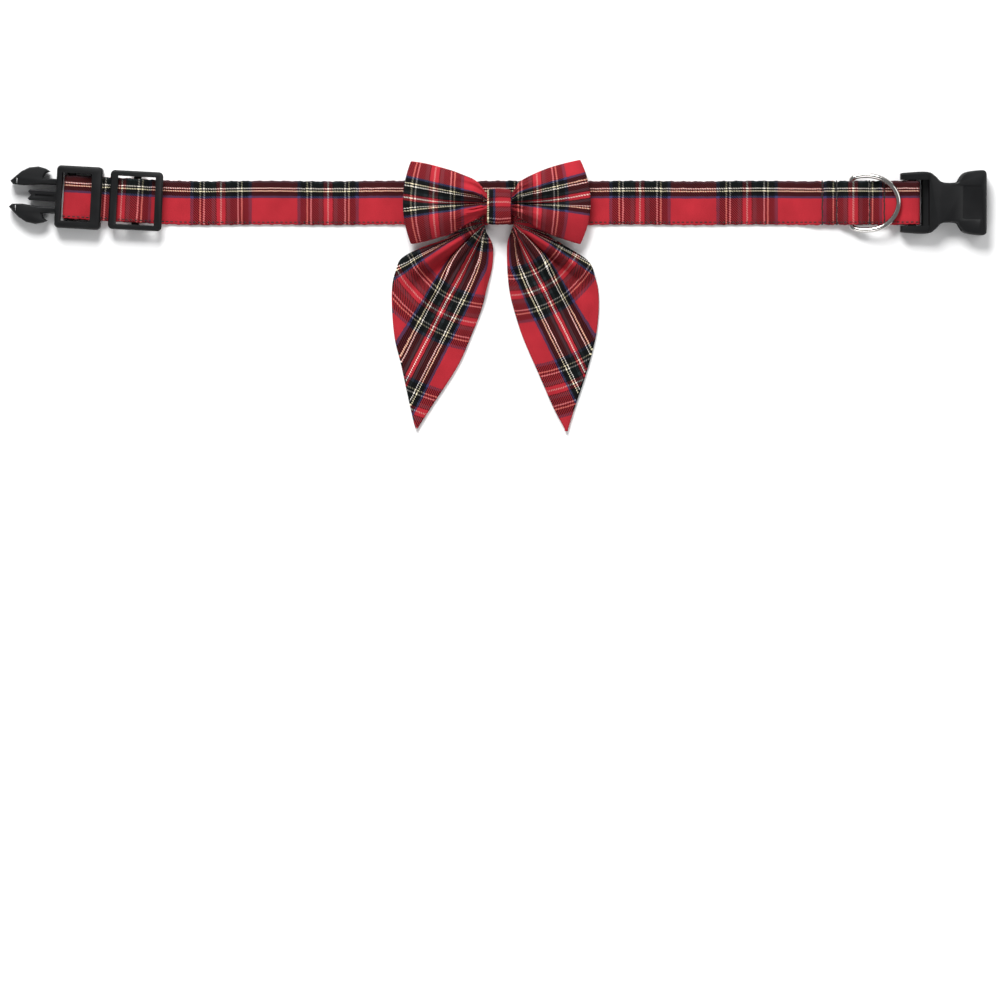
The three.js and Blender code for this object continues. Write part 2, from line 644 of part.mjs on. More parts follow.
function socketBody() {
  const mid = SOCKET_HEIGHT / 2;
  const cavityHalf = ARM_HEIGHT / 2 + PLUG_CLEARANCE;
  const plugFaceToHook = PLUG_BASE_LENGTH + HOOK_PLACE * ARM_LENGTH - 2 * PLUG_CLEARANCE;
  const lipFrom = SOCKET_LENGTH - plugFaceToHook;
  const pocketFrom = SOCKET_REAR_WALL + POCKET_START * SOCKET_LENGTH;
  const start = SOCKET_ROWS[0].along * SOCKET_LENGTH;
  const outline = socketShape();
  const body = solidOf(plate(outline, 0, SOCKET_HEIGHT, SOCKET_CHAMFER));
  const backOfBody = solidOf(block(start - 1, 0, -SOCKET_HALF, SOCKET_HALF, -1, SOCKET_HEIGHT + 1));
  const armFrom = mid - SOCKET_ARM_HEIGHT / 2;
  const armShape = plate(outline, armFrom, armFrom + SOCKET_ARM_HEIGHT, SOCKET_CHAMFER);
  const armZone = solidOf(block(-SOCKET_SLOT - SOCKET_BAR_WIDTH - SOCKET_ARM_BACK, ARM_ZONE_FRONT,
    -SOCKET_HALF, SOCKET_HALF, 0, SOCKET_HEIGHT));
  const betweenArms = solidOf(block(start - 1, 0, -slotHalf, slotHalf, -1, SOCKET_HEIGHT + 1));
  const barEnd = -SOCKET_SLOT;
  const bar = solidOf(crossBar(barEnd - SOCKET_BAR_WIDTH, barEnd, mid - SOCKET_BAR_HEIGHT / 2,
    mid + SOCKET_BAR_HEIGHT / 2, slotHalf + 1, SOCKET_BAR_ROUND));
  const arms = solidOf(armShape).intersect(armZone).subtract(betweenArms);
  const zFrom = mid - cavityHalf;
  const zTo = mid + cavityHalf;
  const lipHalf = LIP_SHARE * ARM_HALF;
  const pocketHalf = ARM_HALF - PLUG_CLEARANCE;
  const tipHalf = TIP_SHARE * ARM_HALF;
  const lip = solidOf(block(lipFrom - 1, SOCKET_LENGTH + 1, -lipHalf, lipHalf, zFrom, zTo));
  const pocket = solidOf(block(pocketFrom, lipFrom, -pocketHalf, pocketHalf, zFrom, zTo));
  const tips = solidOf(block(SOCKET_REAR_WALL, pocketFrom + 1, -tipHalf, tipHalf, zFrom, zTo));
  const panelHalf = PANEL_SHARE * SOCKET_HALF;
  const panelFrom = PANEL_START * SOCKET_LENGTH;
  const panelShape = roundedRectangle(panelFrom, PANEL_END * SOCKET_LENGTH, -panelHalf, panelHalf,
    PANEL_CORNER);
  const panel = solidOf(plate(panelShape, SOCKET_HEIGHT - PANEL_DEPTH, SOCKET_HEIGHT + 1));
  const backSlots = [-1, 1].map((side) => {
    const near = side * BACK_SLOT_NEAR * SOCKET_HALF;
    const far = side * BACK_SLOT_FAR * SOCKET_HALF;
    const from = SOCKET_REAR_WALL + GAP;
    return solidOf(block(from, from + BACK_SLOT_LENGTH, Math.min(near, far), Math.max(near, far), -1, mid));
  });
  const hollow = [lip, pocket, tips, panel, ...backSlots].reduce((sum, cut) => sum.add(cut));
  const whole = body.subtract(backOfBody).add(arms).add(bar).add(socketSill()).subtract(hollow);
  return geometryOf(whole).translate(socketRear, 0, 0);
}

// Plug

function armSolid(side) {
  const spots = ARM_ROWS.map((row) => new THREE.Vector2(-row.along * ARM_LENGTH, side * row.side * ARM_HALF));
  const mid = PLUG_HEIGHT / 2;
  const shape = new THREE.Shape(spots);
  const arm = solidOf(plate(shape, mid - ARM_HEIGHT / 2, mid + ARM_HEIGHT / 2, ARM_CHAMFER));
  const slotX = -ARM_SLOT_PLACE * ARM_LENGTH;
  const slotY = side * ARM_SLOT_SIDE * ARM_HALF;
  const slot = solidOf(block(slotX - ARM_SLOT_HALF, slotX + ARM_SLOT_HALF, slotY - ARM_SLOT_REACH,
    slotY + ARM_SLOT_REACH, -1, PLUG_HEIGHT + 1));
  return arm.subtract(slot);
}

function guideSolid() {
  const half = GUIDE_WIDTH / 2;
  const notch = new THREE.Shape();
  notch.moveTo(GUIDE_ROOT, -half);
  notch.lineTo(GUIDE_ROOT, half);
  notch.lineTo(-GUIDE_LENGTH + GUIDE_CORNER, half);
  notch.lineTo(-GUIDE_LENGTH, half - GUIDE_CORNER);
  notch.lineTo(-GUIDE_LENGTH + GUIDE_NOTCH, 0);
  notch.lineTo(-GUIDE_LENGTH, -half + GUIDE_CORNER);
  notch.lineTo(-GUIDE_LENGTH + GUIDE_CORNER, -half);
  const mid = PLUG_HEIGHT / 2;
  const bar = solidOf(plate(notch, mid - GUIDE_HEIGHT / 2, mid + GUIDE_HEIGHT / 2, GUIDE_CHAMFER));
  const groove = block(-GUIDE_LENGTH + GROOVE_END, -GROOVE_ROOT, -GROOVE_HALF, GROOVE_HALF,
    mid + GUIDE_HEIGHT / 2 - GROOVE_DEPTH, mid + GUIDE_HEIGHT);
  return bar.subtract(solidOf(groove));
}

function plugBody() {
  const base = frameLeft - PLUG_BASE_LENGTH;
  const right = base + PLUG_FRAME_LENGTH;
  const outline = roundedRectangle(base, right, -PLUG_FRAME_HALF, PLUG_FRAME_HALF, PLUG_CORNER);
  const frame = solidOf(plate(outline, GAP, PLUG_HEIGHT, PLUG_CHAMFER));
  const railHalf = STRAP_WIDTH / 2 + RAIL_CLEARANCE;
  const window = solidOf(block(frameLeft, right - PLUG_BAR_WIDTH, -railHalf, railHalf, -1, PLUG_HEIGHT + 1));
  const underBar = solidOf(block(frameLeft, right + 1, -railHalf, railHalf, -1, barBottom));
  const pinZ = STRAP_THICK + GAP;
  const pinHalf = PLUG_PIN_WIDTH / 2;
  const pin = solidOf(crossBar(plugPinX - pinHalf, plugPinX + pinHalf, pinZ, pinZ + PLUG_PIN_HEIGHT,
    railHalf + 1, PLUG_PIN_ROUND));
  const foot = solidOf(block(base + PLUG_FOOT, base + PLUG_BASE_LENGTH, -railHalf, railHalf, 0, PLUG_FOOT));
  const arms = [-1, 1].map((side) => armSolid(side).translate([base + ARM_ROOT, 0, 0]));
  const whole = [pin, foot, ...arms, guideSolid().translate([base + GUIDE_SEAT, 0, 0])]
    .reduce((sum, solid) => sum.add(solid), frame.subtract(window).subtract(underBar));
  return layAlong(geometryOf(whole));
}

// Slider: a frame over the strap, with a lower pin that the strap's end is sewn round.

function sliderBody() {
  const left = -SLIDER_PLACE - SLIDER_LENGTH / 2;
  const right = -SLIDER_PLACE + SLIDER_LENGTH / 2;
  const half = SLIDER_WIDTH / 2;
  const railHalf = STRAP_WIDTH / 2 + RAIL_CLEARANCE;
  const top = barBottom + SLIDER_BAR_HEIGHT;
  const frame = solidOf(plate(roundedRectangle(left, right, -half, half, SLIDER_CORNER), barBottom, top,
    SLIDER_CHAMFER));
  const window = solidOf(block(left + SLIDER_BAR, right - SLIDER_BAR, -railHalf, railHalf, 0, top + 1));
  const pinHalf = SLIDER_PIN_WIDTH / 2;
  const pinZ = STRAP_THICK + GAP;
  const lugs = [-1, 1].map((side) => {
    const near = side * railHalf;
    const far = side * (half - SLIDER_CHAMFER);
    return solidOf(block(-SLIDER_PLACE - 2 * pinHalf, -SLIDER_PLACE + 2 * pinHalf, Math.min(near, far),
      Math.max(near, far), pinZ, barBottom + 1));
  });
  const pin = solidOf(crossBar(-SLIDER_PLACE - pinHalf, -SLIDER_PLACE + pinHalf, pinZ, pinZ + SLIDER_PIN_HEIGHT,
    railHalf + 1, SLIDER_PIN_ROUND));
  const whole = [pin, ...lugs].reduce((sum, solid) => sum.add(solid), frame.subtract(window));
  return layAlong(geometryOf(whole));
}

// Bow loops: one tube of cloth, folded at its outer ends and pinched in the knot.

// A column of a table of rows, read between rows along a straight line.
function readRows(rows, key, column, value) {
  const after = Math.max(rows.findIndex((row) => row[key] >= value), 1);
  const a = rows[after - 1];
  const b = rows[after];
  return THREE.MathUtils.mapLinear(Math.min(value, b[key]), a[key], b[key], a[column], b[column]);
}

const LOOP_STATIONS = 11;
const LOOP_COLUMNS = 12;

// How far the loops' back rises towards the knot, above where it rests.
function backLift(x) {
  return (wingRoot - bowRest) * (1 - THREE.MathUtils.smoothstep(Math.abs(x), 0, LIFT_REACH));
}

function loopPoint(station, across, front) {
  const side = station < 0 ? LEFT_WING_ROWS : RIGHT_WING_ROWS;
  const corner = station < 0 ? LEFT_WING : RIGHT_WING;
  const bulge = station < 0 ? LEFT_BULGE : RIGHT_BULGE;
  const pinch = (KNOT_WIDTH / 2 + GAP) / corner;
  const turn = (Math.PI / 2) * ((Math.abs(station) - 1) / (LOOP_STATIONS - 1));
  const out = station === 0 ? 0 : pinch + (1 - pinch) * Math.sin(turn);
  const x = Math.sign(station) * out * (corner + bulge * (1 - across * across) * out * out);
  const y = across * WING_HALF * readRows(side, "out", across > 0 ? "top" : "bottom", out);
  const full = LOOP_DEPTH * readRows(side, "out", "depth", out);
  const valley = VALLEY_DEPTH * readRows(side, "out", "valley", out);
  const dome = EDGE_DEPTH + (1 - EDGE_DEPTH) * (1 - Math.abs(across) ** 2.5);
  const crease = Math.exp(-(((across - VALLEY_PLACE) / VALLEY_WIDTH) ** 2));
  const depth = Math.max(full * dome - valley * crease, 2 * BOW_WALL + 2 * GAP);
  const end = Math.sqrt(1 - out ** END_SQUARENESS);
  const z = bowRest + backLift(x) + (depth / 2) * (front ? 1 + end : 1 - end);
  return new THREE.Vector3(x, y, z);
}

// Each point of a closed row, moved inwards in the XZ plane by the wall.
function insetColumn(column, wall) {
  return column.map((point, i) => {
    const before = column[(i + column.length - 1) % column.length];
    const after = column[(i + 1) % column.length];
    const along = after.clone().sub(before).setY(0).normalize();
    return point.clone().add(new THREE.Vector3(along.z, 0, -along.x).multiplyScalar(wall));
  });
}

function loopsBody() {
  const columns = Array.from({ length: LOOP_COLUMNS + 1 }, (_, j) => {
    const across = (2 * j) / LOOP_COLUMNS - 1;
    const stations = Array.from({ length: 2 * LOOP_STATIONS + 1 }, (_, i) => i - LOOP_STATIONS);
    const front = stations.map((station) => loopPoint(station, across, true));
    const back = stations.slice(1, -1).reverse().map((station) => loopPoint(station, across, false));
    return [...front, ...back];
  });
  const insets = columns.map((column) => insetColumn(column, BOW_WALL));
  const rowsOf = (grid) => grid[0].map((_, i) => grid.map((column) => column[i]));
  return wallBetween(rowsOf(columns), rowsOf(insets), true);
}

// Knot: a band of cloth round the loops and the tails' roots.

const KNOT_ROWS = 28;
const KNOT_COLUMNS = 6;

function knotRing(offset, across, squareness) {
  const halfY = (KNOT_TOP + KNOT_BOTTOM) / 2 + offset;
  const halfZ = KNOT_HEIGHT / 2 + offset;
  const midY = (KNOT_TOP - KNOT_BOTTOM) / 2;
  const midZ = bowRest + KNOT_HEIGHT / 2;
  const corner = 2 / squareness;
  return Array.from({ length: KNOT_ROWS }, (_, i) => {
    const angle = (2 * Math.PI * i) / KNOT_ROWS;
    const c = Math.cos(angle);
    const s = Math.sin(angle);
    const y = midY + halfY * Math.sign(c) * Math.abs(c) ** corner;
    const z = midZ + halfZ * Math.sign(s) * Math.abs(s) ** corner;
    return new THREE.Vector3((across * KNOT_WIDTH) / 2, y, z);
  });
}

function knotBody() {
  const rings = (offsetAt, squareness) => Array.from({ length: KNOT_COLUMNS + 1 }, (_, j) => {
    const across = (2 * j) / KNOT_COLUMNS - 1;
    return knotRing(offsetAt(across), across, squareness);
  });
  const outer = rings((across) => -KNOT_BULGE * across * across, KNOT_SQUARENESS);
  const inner = rings(() => -BOW_WALL - KNOT_BULGE, KNOT_INNER_SQUARENESS);
  const rowsOf = (grid) => grid[0].map((_, i) => grid.map((ring) => ring[i]));
  return wallBetween(rowsOf(outer), rowsOf(inner), true);
}

// Tails: flat double cloth, gathered in the knot, with pleats that fade towards the points.

const TAIL_ROWS = 26;
const TAIL_COLUMNS = 14;

function tailRow(rows, share) {
  const place = share * (rows.length - 1);
  const keys = ["outX", "outY", "inX", "inY", "lift", "pleat"];
  const index = Math.min(Math.floor(place), rows.length - 2);
  const values = keys.map((key) => {
    const mix = place - index;
    const a = rows[index][key];
    const b = rows[index + 1][key];
    const slopeA = index > 0 ? (b - rows[index - 1][key]) / 2 : b - a;
    const slopeB = index < rows.length - 2 ? (rows[index + 2][key] - a) / 2 : b - a;
    const square = mix * mix;
    const cube = square * mix;
    return (2 * cube - 3 * square + 1) * a + (cube - 2 * square + mix) * slopeA
      + (3 * square - 2 * cube) * b + (cube - square) * slopeB;
  });
  return Object.fromEntries(keys.map((key, i) => [key, values[i]]));
}

function ridgeAt(across) {
  return TAIL_RIDGES.reduce((sum, ridge) => {
    return sum + ridge.height * Math.exp(-(((across - ridge.at) / ridge.width) ** 2));
  }, 0);
}

function tailBody(rows, side) {
  const faces = [0, TAIL_THICK].map((raise) => Array.from({ length: TAIL_ROWS + 1 }, (_, i) => {
    const row = tailRow(rows, i / TAIL_ROWS);
    return Array.from({ length: TAIL_COLUMNS + 1 }, (_, j) => {
      const across = j / TAIL_COLUMNS;
      const x = side * TAIL_SPREAD * THREE.MathUtils.lerp(row.outX, row.inX, across);
      const y = -TAIL_DROP * THREE.MathUtils.lerp(row.outY, row.inY, across);
      const lift = tailRoot * Math.max(row.lift, 0) + PLEAT_HEIGHT * Math.max(row.pleat, 0) * ridgeAt(across);
      return new THREE.Vector3(x, y, lift + raise);
    });
  }));
  return wallBetween(faces[1], faces[0], false);
}

// Elastic loops: sewn to the back of each wing, passing under the strap.

function elasticBody(place) {
  const low = ELASTIC_THICK / 2;
  const high = bowRest - GAP - low;
  const bend = STRAP_WIDTH / 2 + GAP + ELASTIC_THICK;
  const corners = [
    [ELASTIC_TOP, high],
    [bend + 1.6, high],
    [bend, low],
    [-bend, low],
    [-bend - 1.6, high],
    [-ELASTIC_BOTTOM, high],
  ];
  const geometry = strip(corners, ELASTIC_THICK, ELASTIC_WIDTH).rotateZ(Math.PI / 2).translate(place, 0, 0);
  const position = geometry.attributes.position;
  for (let i = 0; i < position.count; i += 1) {
    const sewn = THREE.MathUtils.smoothstep(Math.abs(position.getY(i)), bend, bend + 1.6);
    position.setZ(i, position.getZ(i) + sewn * backLift(position.getX(i)));
  }
  return geometry;
}

// The assembly

const cloth = 0xc22f3c;
const plastic = 0x17181a;
const collar = new THREE.Group();
collar.add(meshOf("strap", strapBody(), cloth, 0.85, 0));
collar.add(meshOf("bow_loops", loopsBody(), cloth, 0.85, 0));
collar.add(meshOf("bow_knot", knotBody(), cloth, 0.85, 0));
collar.add(meshOf("tail_left", tailBody(LEFT_TAIL_ROWS, -1), cloth, 0.85, 0));
collar.add(meshOf("tail_right", tailBody(RIGHT_TAIL_ROWS, 1), cloth, 0.85, 0));
collar.add(meshOf("elastic_left", elasticBody(-ELASTIC_LEFT), 0xf2f2ef, 0.8, 0));
collar.add(meshOf("elastic_right", elasticBody(ELASTIC_RIGHT), 0xf2f2ef, 0.8, 0));
collar.add(meshOf("plug", plugBody(), plastic, 0.45, 0));
collar.add(meshOf("slider", sliderBody(), plastic, 0.45, 0));
collar.add(meshOf("socket", socketBody(), plastic, 0.45, 0));

const ring = meshOf("d_ring", ringBody(), 0xc9cccf, 0.18, 1);
ring.position.set(ringX, 0, ringZ);
ring.rotation.y = -ringTilt();
collar.add(ring);

// The origin is the middle of the whole collar's underside.
const extent = new THREE.Box3().setFromObject(collar);
const middle = extent.getCenter(new THREE.Vector3());
collar.position.set(-middle.x, -middle.y, -extent.min.z);

export default collar;
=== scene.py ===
# %% [markdown]
# # A plaid bow tie collar, dressed over its CAD frame
# The frame holds the collar's measured solids. Each cell below makes one visible piece or finish over them:
# tartan cloth with its folds, moulded buckle parts, a plated ring, and the stitches that close the strap.

# %% Frame and libraries
import math

import bmesh
import bpy
import numpy as np
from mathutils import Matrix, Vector


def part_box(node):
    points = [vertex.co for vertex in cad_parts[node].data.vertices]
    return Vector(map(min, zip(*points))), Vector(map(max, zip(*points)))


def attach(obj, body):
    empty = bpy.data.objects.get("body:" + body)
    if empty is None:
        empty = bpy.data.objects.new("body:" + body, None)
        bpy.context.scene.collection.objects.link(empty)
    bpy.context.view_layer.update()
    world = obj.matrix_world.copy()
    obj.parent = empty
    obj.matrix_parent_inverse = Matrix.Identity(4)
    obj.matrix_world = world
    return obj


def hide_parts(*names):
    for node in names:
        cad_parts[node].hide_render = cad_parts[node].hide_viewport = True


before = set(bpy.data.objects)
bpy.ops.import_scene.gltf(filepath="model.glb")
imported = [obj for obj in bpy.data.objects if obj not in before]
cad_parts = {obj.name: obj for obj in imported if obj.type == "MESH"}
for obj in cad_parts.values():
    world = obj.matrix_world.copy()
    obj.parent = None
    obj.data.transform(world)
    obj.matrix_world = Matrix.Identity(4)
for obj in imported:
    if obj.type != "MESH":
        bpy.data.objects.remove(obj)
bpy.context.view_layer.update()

print("nodes:", ", ".join(sorted(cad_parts)))

# %% [markdown]
# ## Measures
# The collar is worked out in millimetres from the middle of the knot, with the table at zero height.
# A last step moves every point to the frame's own place, found from the box of the knot and of the strap.

# %% Measures and the step to the frame
MM = 0.001
KNOT_WIDTH = 13.7
knot_low, knot_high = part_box("bow_knot")
strap_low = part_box("strap")[0]
KNOT_TOP, KNOT_BOTTOM = 8.0, 12.6
ORIGIN = np.array([
    (knot_low.x + knot_high.x) / 2,
    (knot_low.y + knot_high.y) / 2 - (KNOT_TOP - KNOT_BOTTOM) / 2 * MM,
    strap_low.z,
])
print("knot's middle in the frame, mm:", np.round(ORIGIN / MM, 2))

# %% [markdown]
# ## Meshes from grids
# Cloth is a thin wall, so each sheet is made as one skin: the face, a round edge, the back and the other
# edge. The same skin closes in a ring for a band, or gets flat ends for a ribbon.

# %% Helpers for meshes
def put(name, points, faces, uv=None, smooth=True):
    """A mesh object from points in mm and lists of same-sided faces, with a UV pair in mm for each corner."""
    loops = np.concatenate([np.asarray(part).ravel() for part in faces])
    sides = np.concatenate([np.full(len(part), part.shape[1]) for part in faces])
    starts = np.concatenate([[0], np.cumsum(sides)[:-1]])
    mesh = bpy.data.meshes.new(name)
    mesh.vertices.add(len(points))
    mesh.vertices.foreach_set("co", (points * MM + ORIGIN).astype(np.float32).ravel())
    mesh.loops.add(len(loops))
    mesh.loops.foreach_set("vertex_index", loops.astype(np.int32))
    mesh.polygons.add(len(sides))
    mesh.polygons.foreach_set("loop_start", starts.astype(np.int32))
    mesh.polygons.foreach_set("use_smooth", np.full(len(sides), smooth))
    mesh.update(calc_edges=True)
    if uv is not None:
        layer = mesh.uv_layers.new(name="cloth")
        layer.data.foreach_set("uv", uv.astype(np.float32).ravel())
    mesh.validate()
    made = bpy.data.objects.new(name, mesh)
    bpy.context.scene.collection.objects.link(made)
    return made


def unit(vectors):
    """Vectors scaled to length one."""
    return vectors / np.maximum(np.linalg.norm(vectors, axis=-1, keepdims=True), 1e-9)


def slopes(grid, axis, ring):
    """Half the step from the point before to the point after, along one direction of a grid."""
    if ring:
        return (np.roll(grid, -1, axis) - np.roll(grid, 1, axis)) / 2
    return np.gradient(grid, axis=axis)


def skin(name, middle, thick, uv, uv_back=None, ring=False, rims=5):
    """A wall of cloth round a middle surface of rows and columns: half the thickness to each side along the
    normal, and half a circle round each long edge. A ring joins its last row to its first."""
    half = np.broadcast_to(np.asarray(thick) / 2, middle.shape[:2])[..., None]
    along = unit(slopes(middle, 0, ring))
    across = unit(slopes(middle, 1, False))
    normal = unit(np.cross(across, along))
    if normal[..., 2].sum() < 0 and not ring:
        normal = -normal
    turn = np.linspace(0, np.pi, rims + 2)[1:-1][None, :, None]
    right = middle[:, -1:] + half[:, -1:] * (np.cos(turn) * normal[:, -1:] + np.sin(turn) * across[:, -1:])
    left = middle[:, :1] - half[:, :1] * (np.cos(turn) * normal[:, :1] + np.sin(turn) * across[:, :1])
    front, back = middle + half * normal, (middle - half * normal)[:, ::-1]
    sections = np.concatenate([front, right, back, left], axis=1)
    rows, size = sections.shape[:2]
    under = uv[:, ::-1] if uv_back is None else uv_back[:, ::-1]
    step = np.linspace(0, 1, rims + 2)[1:-1][None, :, None]
    rim_right = uv[:, -1:] * (1 - step) + under[:, :1] * step
    if uv_back is None:
        rim_left, last = under[:, -1:] * (1 - step) + uv[:, :1] * step, uv[:, :1]
    else:
        round_edge = np.array([0, half.max() * np.pi])
        rim_left, last = under[:, -1:] + round_edge * step, under[:, -1:] + round_edge
    sheet = np.concatenate([uv, rim_right, under, rim_left], axis=1)
    sheet = np.concatenate([sheet, last], axis=1)
    if ring:
        sheet = np.concatenate([sheet, sheet[-1:] + (sheet[-1:] - sheet[-2:-1])], axis=0)
    spans = rows if ring else rows - 1
    i, j = np.meshgrid(np.arange(spans), np.arange(size), indexing="ij")
    corners_i = np.stack([i, i, i + 1, i + 1], -1).reshape(-1, 4)
    corners_j = np.stack([j, j + 1, j + 1, j], -1).reshape(-1, 4)
    faces = [(corners_i % rows) * size + corners_j % size]
    pairs = [sheet[corners_i, corners_j].reshape(-1, 2)]
    if not ring:
        columns = middle.shape[1]
        k = np.arange(columns - 1)
        other = 2 * columns + rims - 1 - k
        cap = np.stack([k, other, other - 1, k + 1], -1)
        edge_right = np.arange(columns - 1, columns + rims + 1)[None]
        edge_left = np.concatenate([np.arange(2 * columns + rims - 1, size), [0]])[None]
        for row, flip in ((0, 1), (rows - 1, -1)):
            for part in (cap, edge_right[:, ::-1], edge_left[:, ::-1]):
                part = part[:, ::flip]
                faces.append(row * size + part)
                pairs.append(sheet[row, part].reshape(-1, 2))
    points = sections.reshape(-1, 3)
    quads = faces[0]
    a, b, c, d = (points[quads[:, n]] for n in range(4))
    volume = (a * np.cross(b, c)).sum() + (a * np.cross(c, d)).sum()
    if volume < 0:
        faces = [part[:, ::-1] for part in faces]
        pairs = [pair.reshape(-1, part.shape[1], 2)[:, ::-1].reshape(-1, 2)
                 for pair, part in zip(pairs, faces)]
    made = put(name, points, faces, np.concatenate(pairs))
    print(f"{name}: {len(points)} points, up to {np.max(thick):.1f} mm thick")
    return made


def read(table, key, column, at):
    """A column of a table at any value of the key, by smooth cubics with the slopes of their neighbours."""
    keys = np.array([row[key] for row in table], float)
    values = np.array([row[column] for row in table], float)
    slope = np.gradient(values, keys)
    at = np.clip(at, keys[0], keys[-1])
    index = np.clip(np.searchsorted(keys, at, side="right") - 1, 0, len(keys) - 2)
    span = keys[index + 1] - keys[index]
    t = (at - keys[index]) / span
    return (
        (2 * t**3 - 3 * t**2 + 1) * values[index]
        + (t**3 - 2 * t**2 + t) * span * slope[index]
        + (3 * t**2 - 2 * t**3) * values[index + 1]
        + (t**3 - t**2) * span * slope[index + 1]
    )


def smoothstep(value, low, high):
    """Zero below low, one above high, and a smooth cubic between."""
    t = np.clip((value - low) / (high - low), 0, 1)
    return t * t * (3 - 2 * t)


# %% [markdown]
# ## Materials
# The tartan is woven from dyed cotton yarns in a two-and-two twill. The same stripe order runs along the
# strap and across it, so each point shows the stripe of whichever yarn lies on top there. Where both yarns
# are red the cloth glows plain red, and where a dark band crosses red the twill mixes the two into a deep
# maroon.

# %% Helpers for materials
def linear(text):
    """The colour of an sRGB hex text as linear red, green, blue and full alpha."""
    parts = np.array([int(text[k:k + 2], 16) for k in (1, 3, 5)]) / 255
    values = np.where(parts <= 0.04045, parts / 12.92, ((parts + 0.055) / 1.055) ** 2.4)
    return (*values.tolist(), 1.0)


def add(tree, kind, inputs=(), **settings):
    """A shader node with its settings; each input takes a value, or a link where the value is a socket."""
    made = tree.nodes.new("ShaderNode" + kind)
    for name, value in settings.items():
        setattr(made, name, value)
    for socket, value in dict(inputs).items():
        if isinstance(value, bpy.types.NodeSocket):
            tree.links.new(value, made.inputs[socket])
        else:
            made.inputs[socket].default_value = value
    return made


def material(name):
    """An empty node material and its tree."""
    made = bpy.data.materials.new(name)
    made.use_nodes = True
    made.node_tree.nodes.clear()
    return made, made.node_tree


def finish_material(tree, surface):
    """Links a shader to the material's output."""
    add(tree, "OutputMaterial", {"Surface": surface.outputs[0]})


# %% Woven tartan
HALF_SETT = 53.5
SETT = (
    (0.0, "white"), (0.8, "red"), (4.2, "ink"), (5.6, "slate"), (9.4, "green"), (16.3, "white"),
    (17.6, "ink"), (20.0, "yellow"), (21.4, "ink"), (27.5, "blue"), (30.6, "red"),
)
YARNS = {
    "red": "#A4252F", "white": "#FAF2E6", "yellow": "#F0E4BE", "ink": "#050506", "slate": "#20272A",
    "green": "#050A0A", "blue": "#37355C",
}
SETT_ALONG, SETT_ACROSS = 61.0, 43.4
# Real yarns lie about a quarter of a millimetre apart, too fine to show, so they are drawn a little coarser.
YARN_PITCH = 0.34
# How much of the yarn below shows through, where a yarn of the stripes along the strap or across it is on top
UNDER_WARP, UNDER_WEFT = 0.81, 0.26


def stripes(tree, distance, half):
    """The yarn colour at a distance in mm from the middle of a white stripe, mirrored at each half repeat."""
    folded = add(tree, "Math", {0: distance, 1: half}, operation="PINGPONG").outputs[0]
    share = add(tree, "Math", {0: folded, 1: half}, operation="DIVIDE").outputs[0]
    ramp = add(tree, "ValToRGB", {"Fac": share})
    ramp.color_ramp.interpolation = "CONSTANT"
    elements = ramp.color_ramp.elements
    elements.remove(elements[1])
    for place, yarn in SETT:
        stop = elements[0] if place == 0 else elements.new(place / HALF_SETT)
        stop.color = linear(YARNS[yarn])
    return ramp.outputs["Color"]


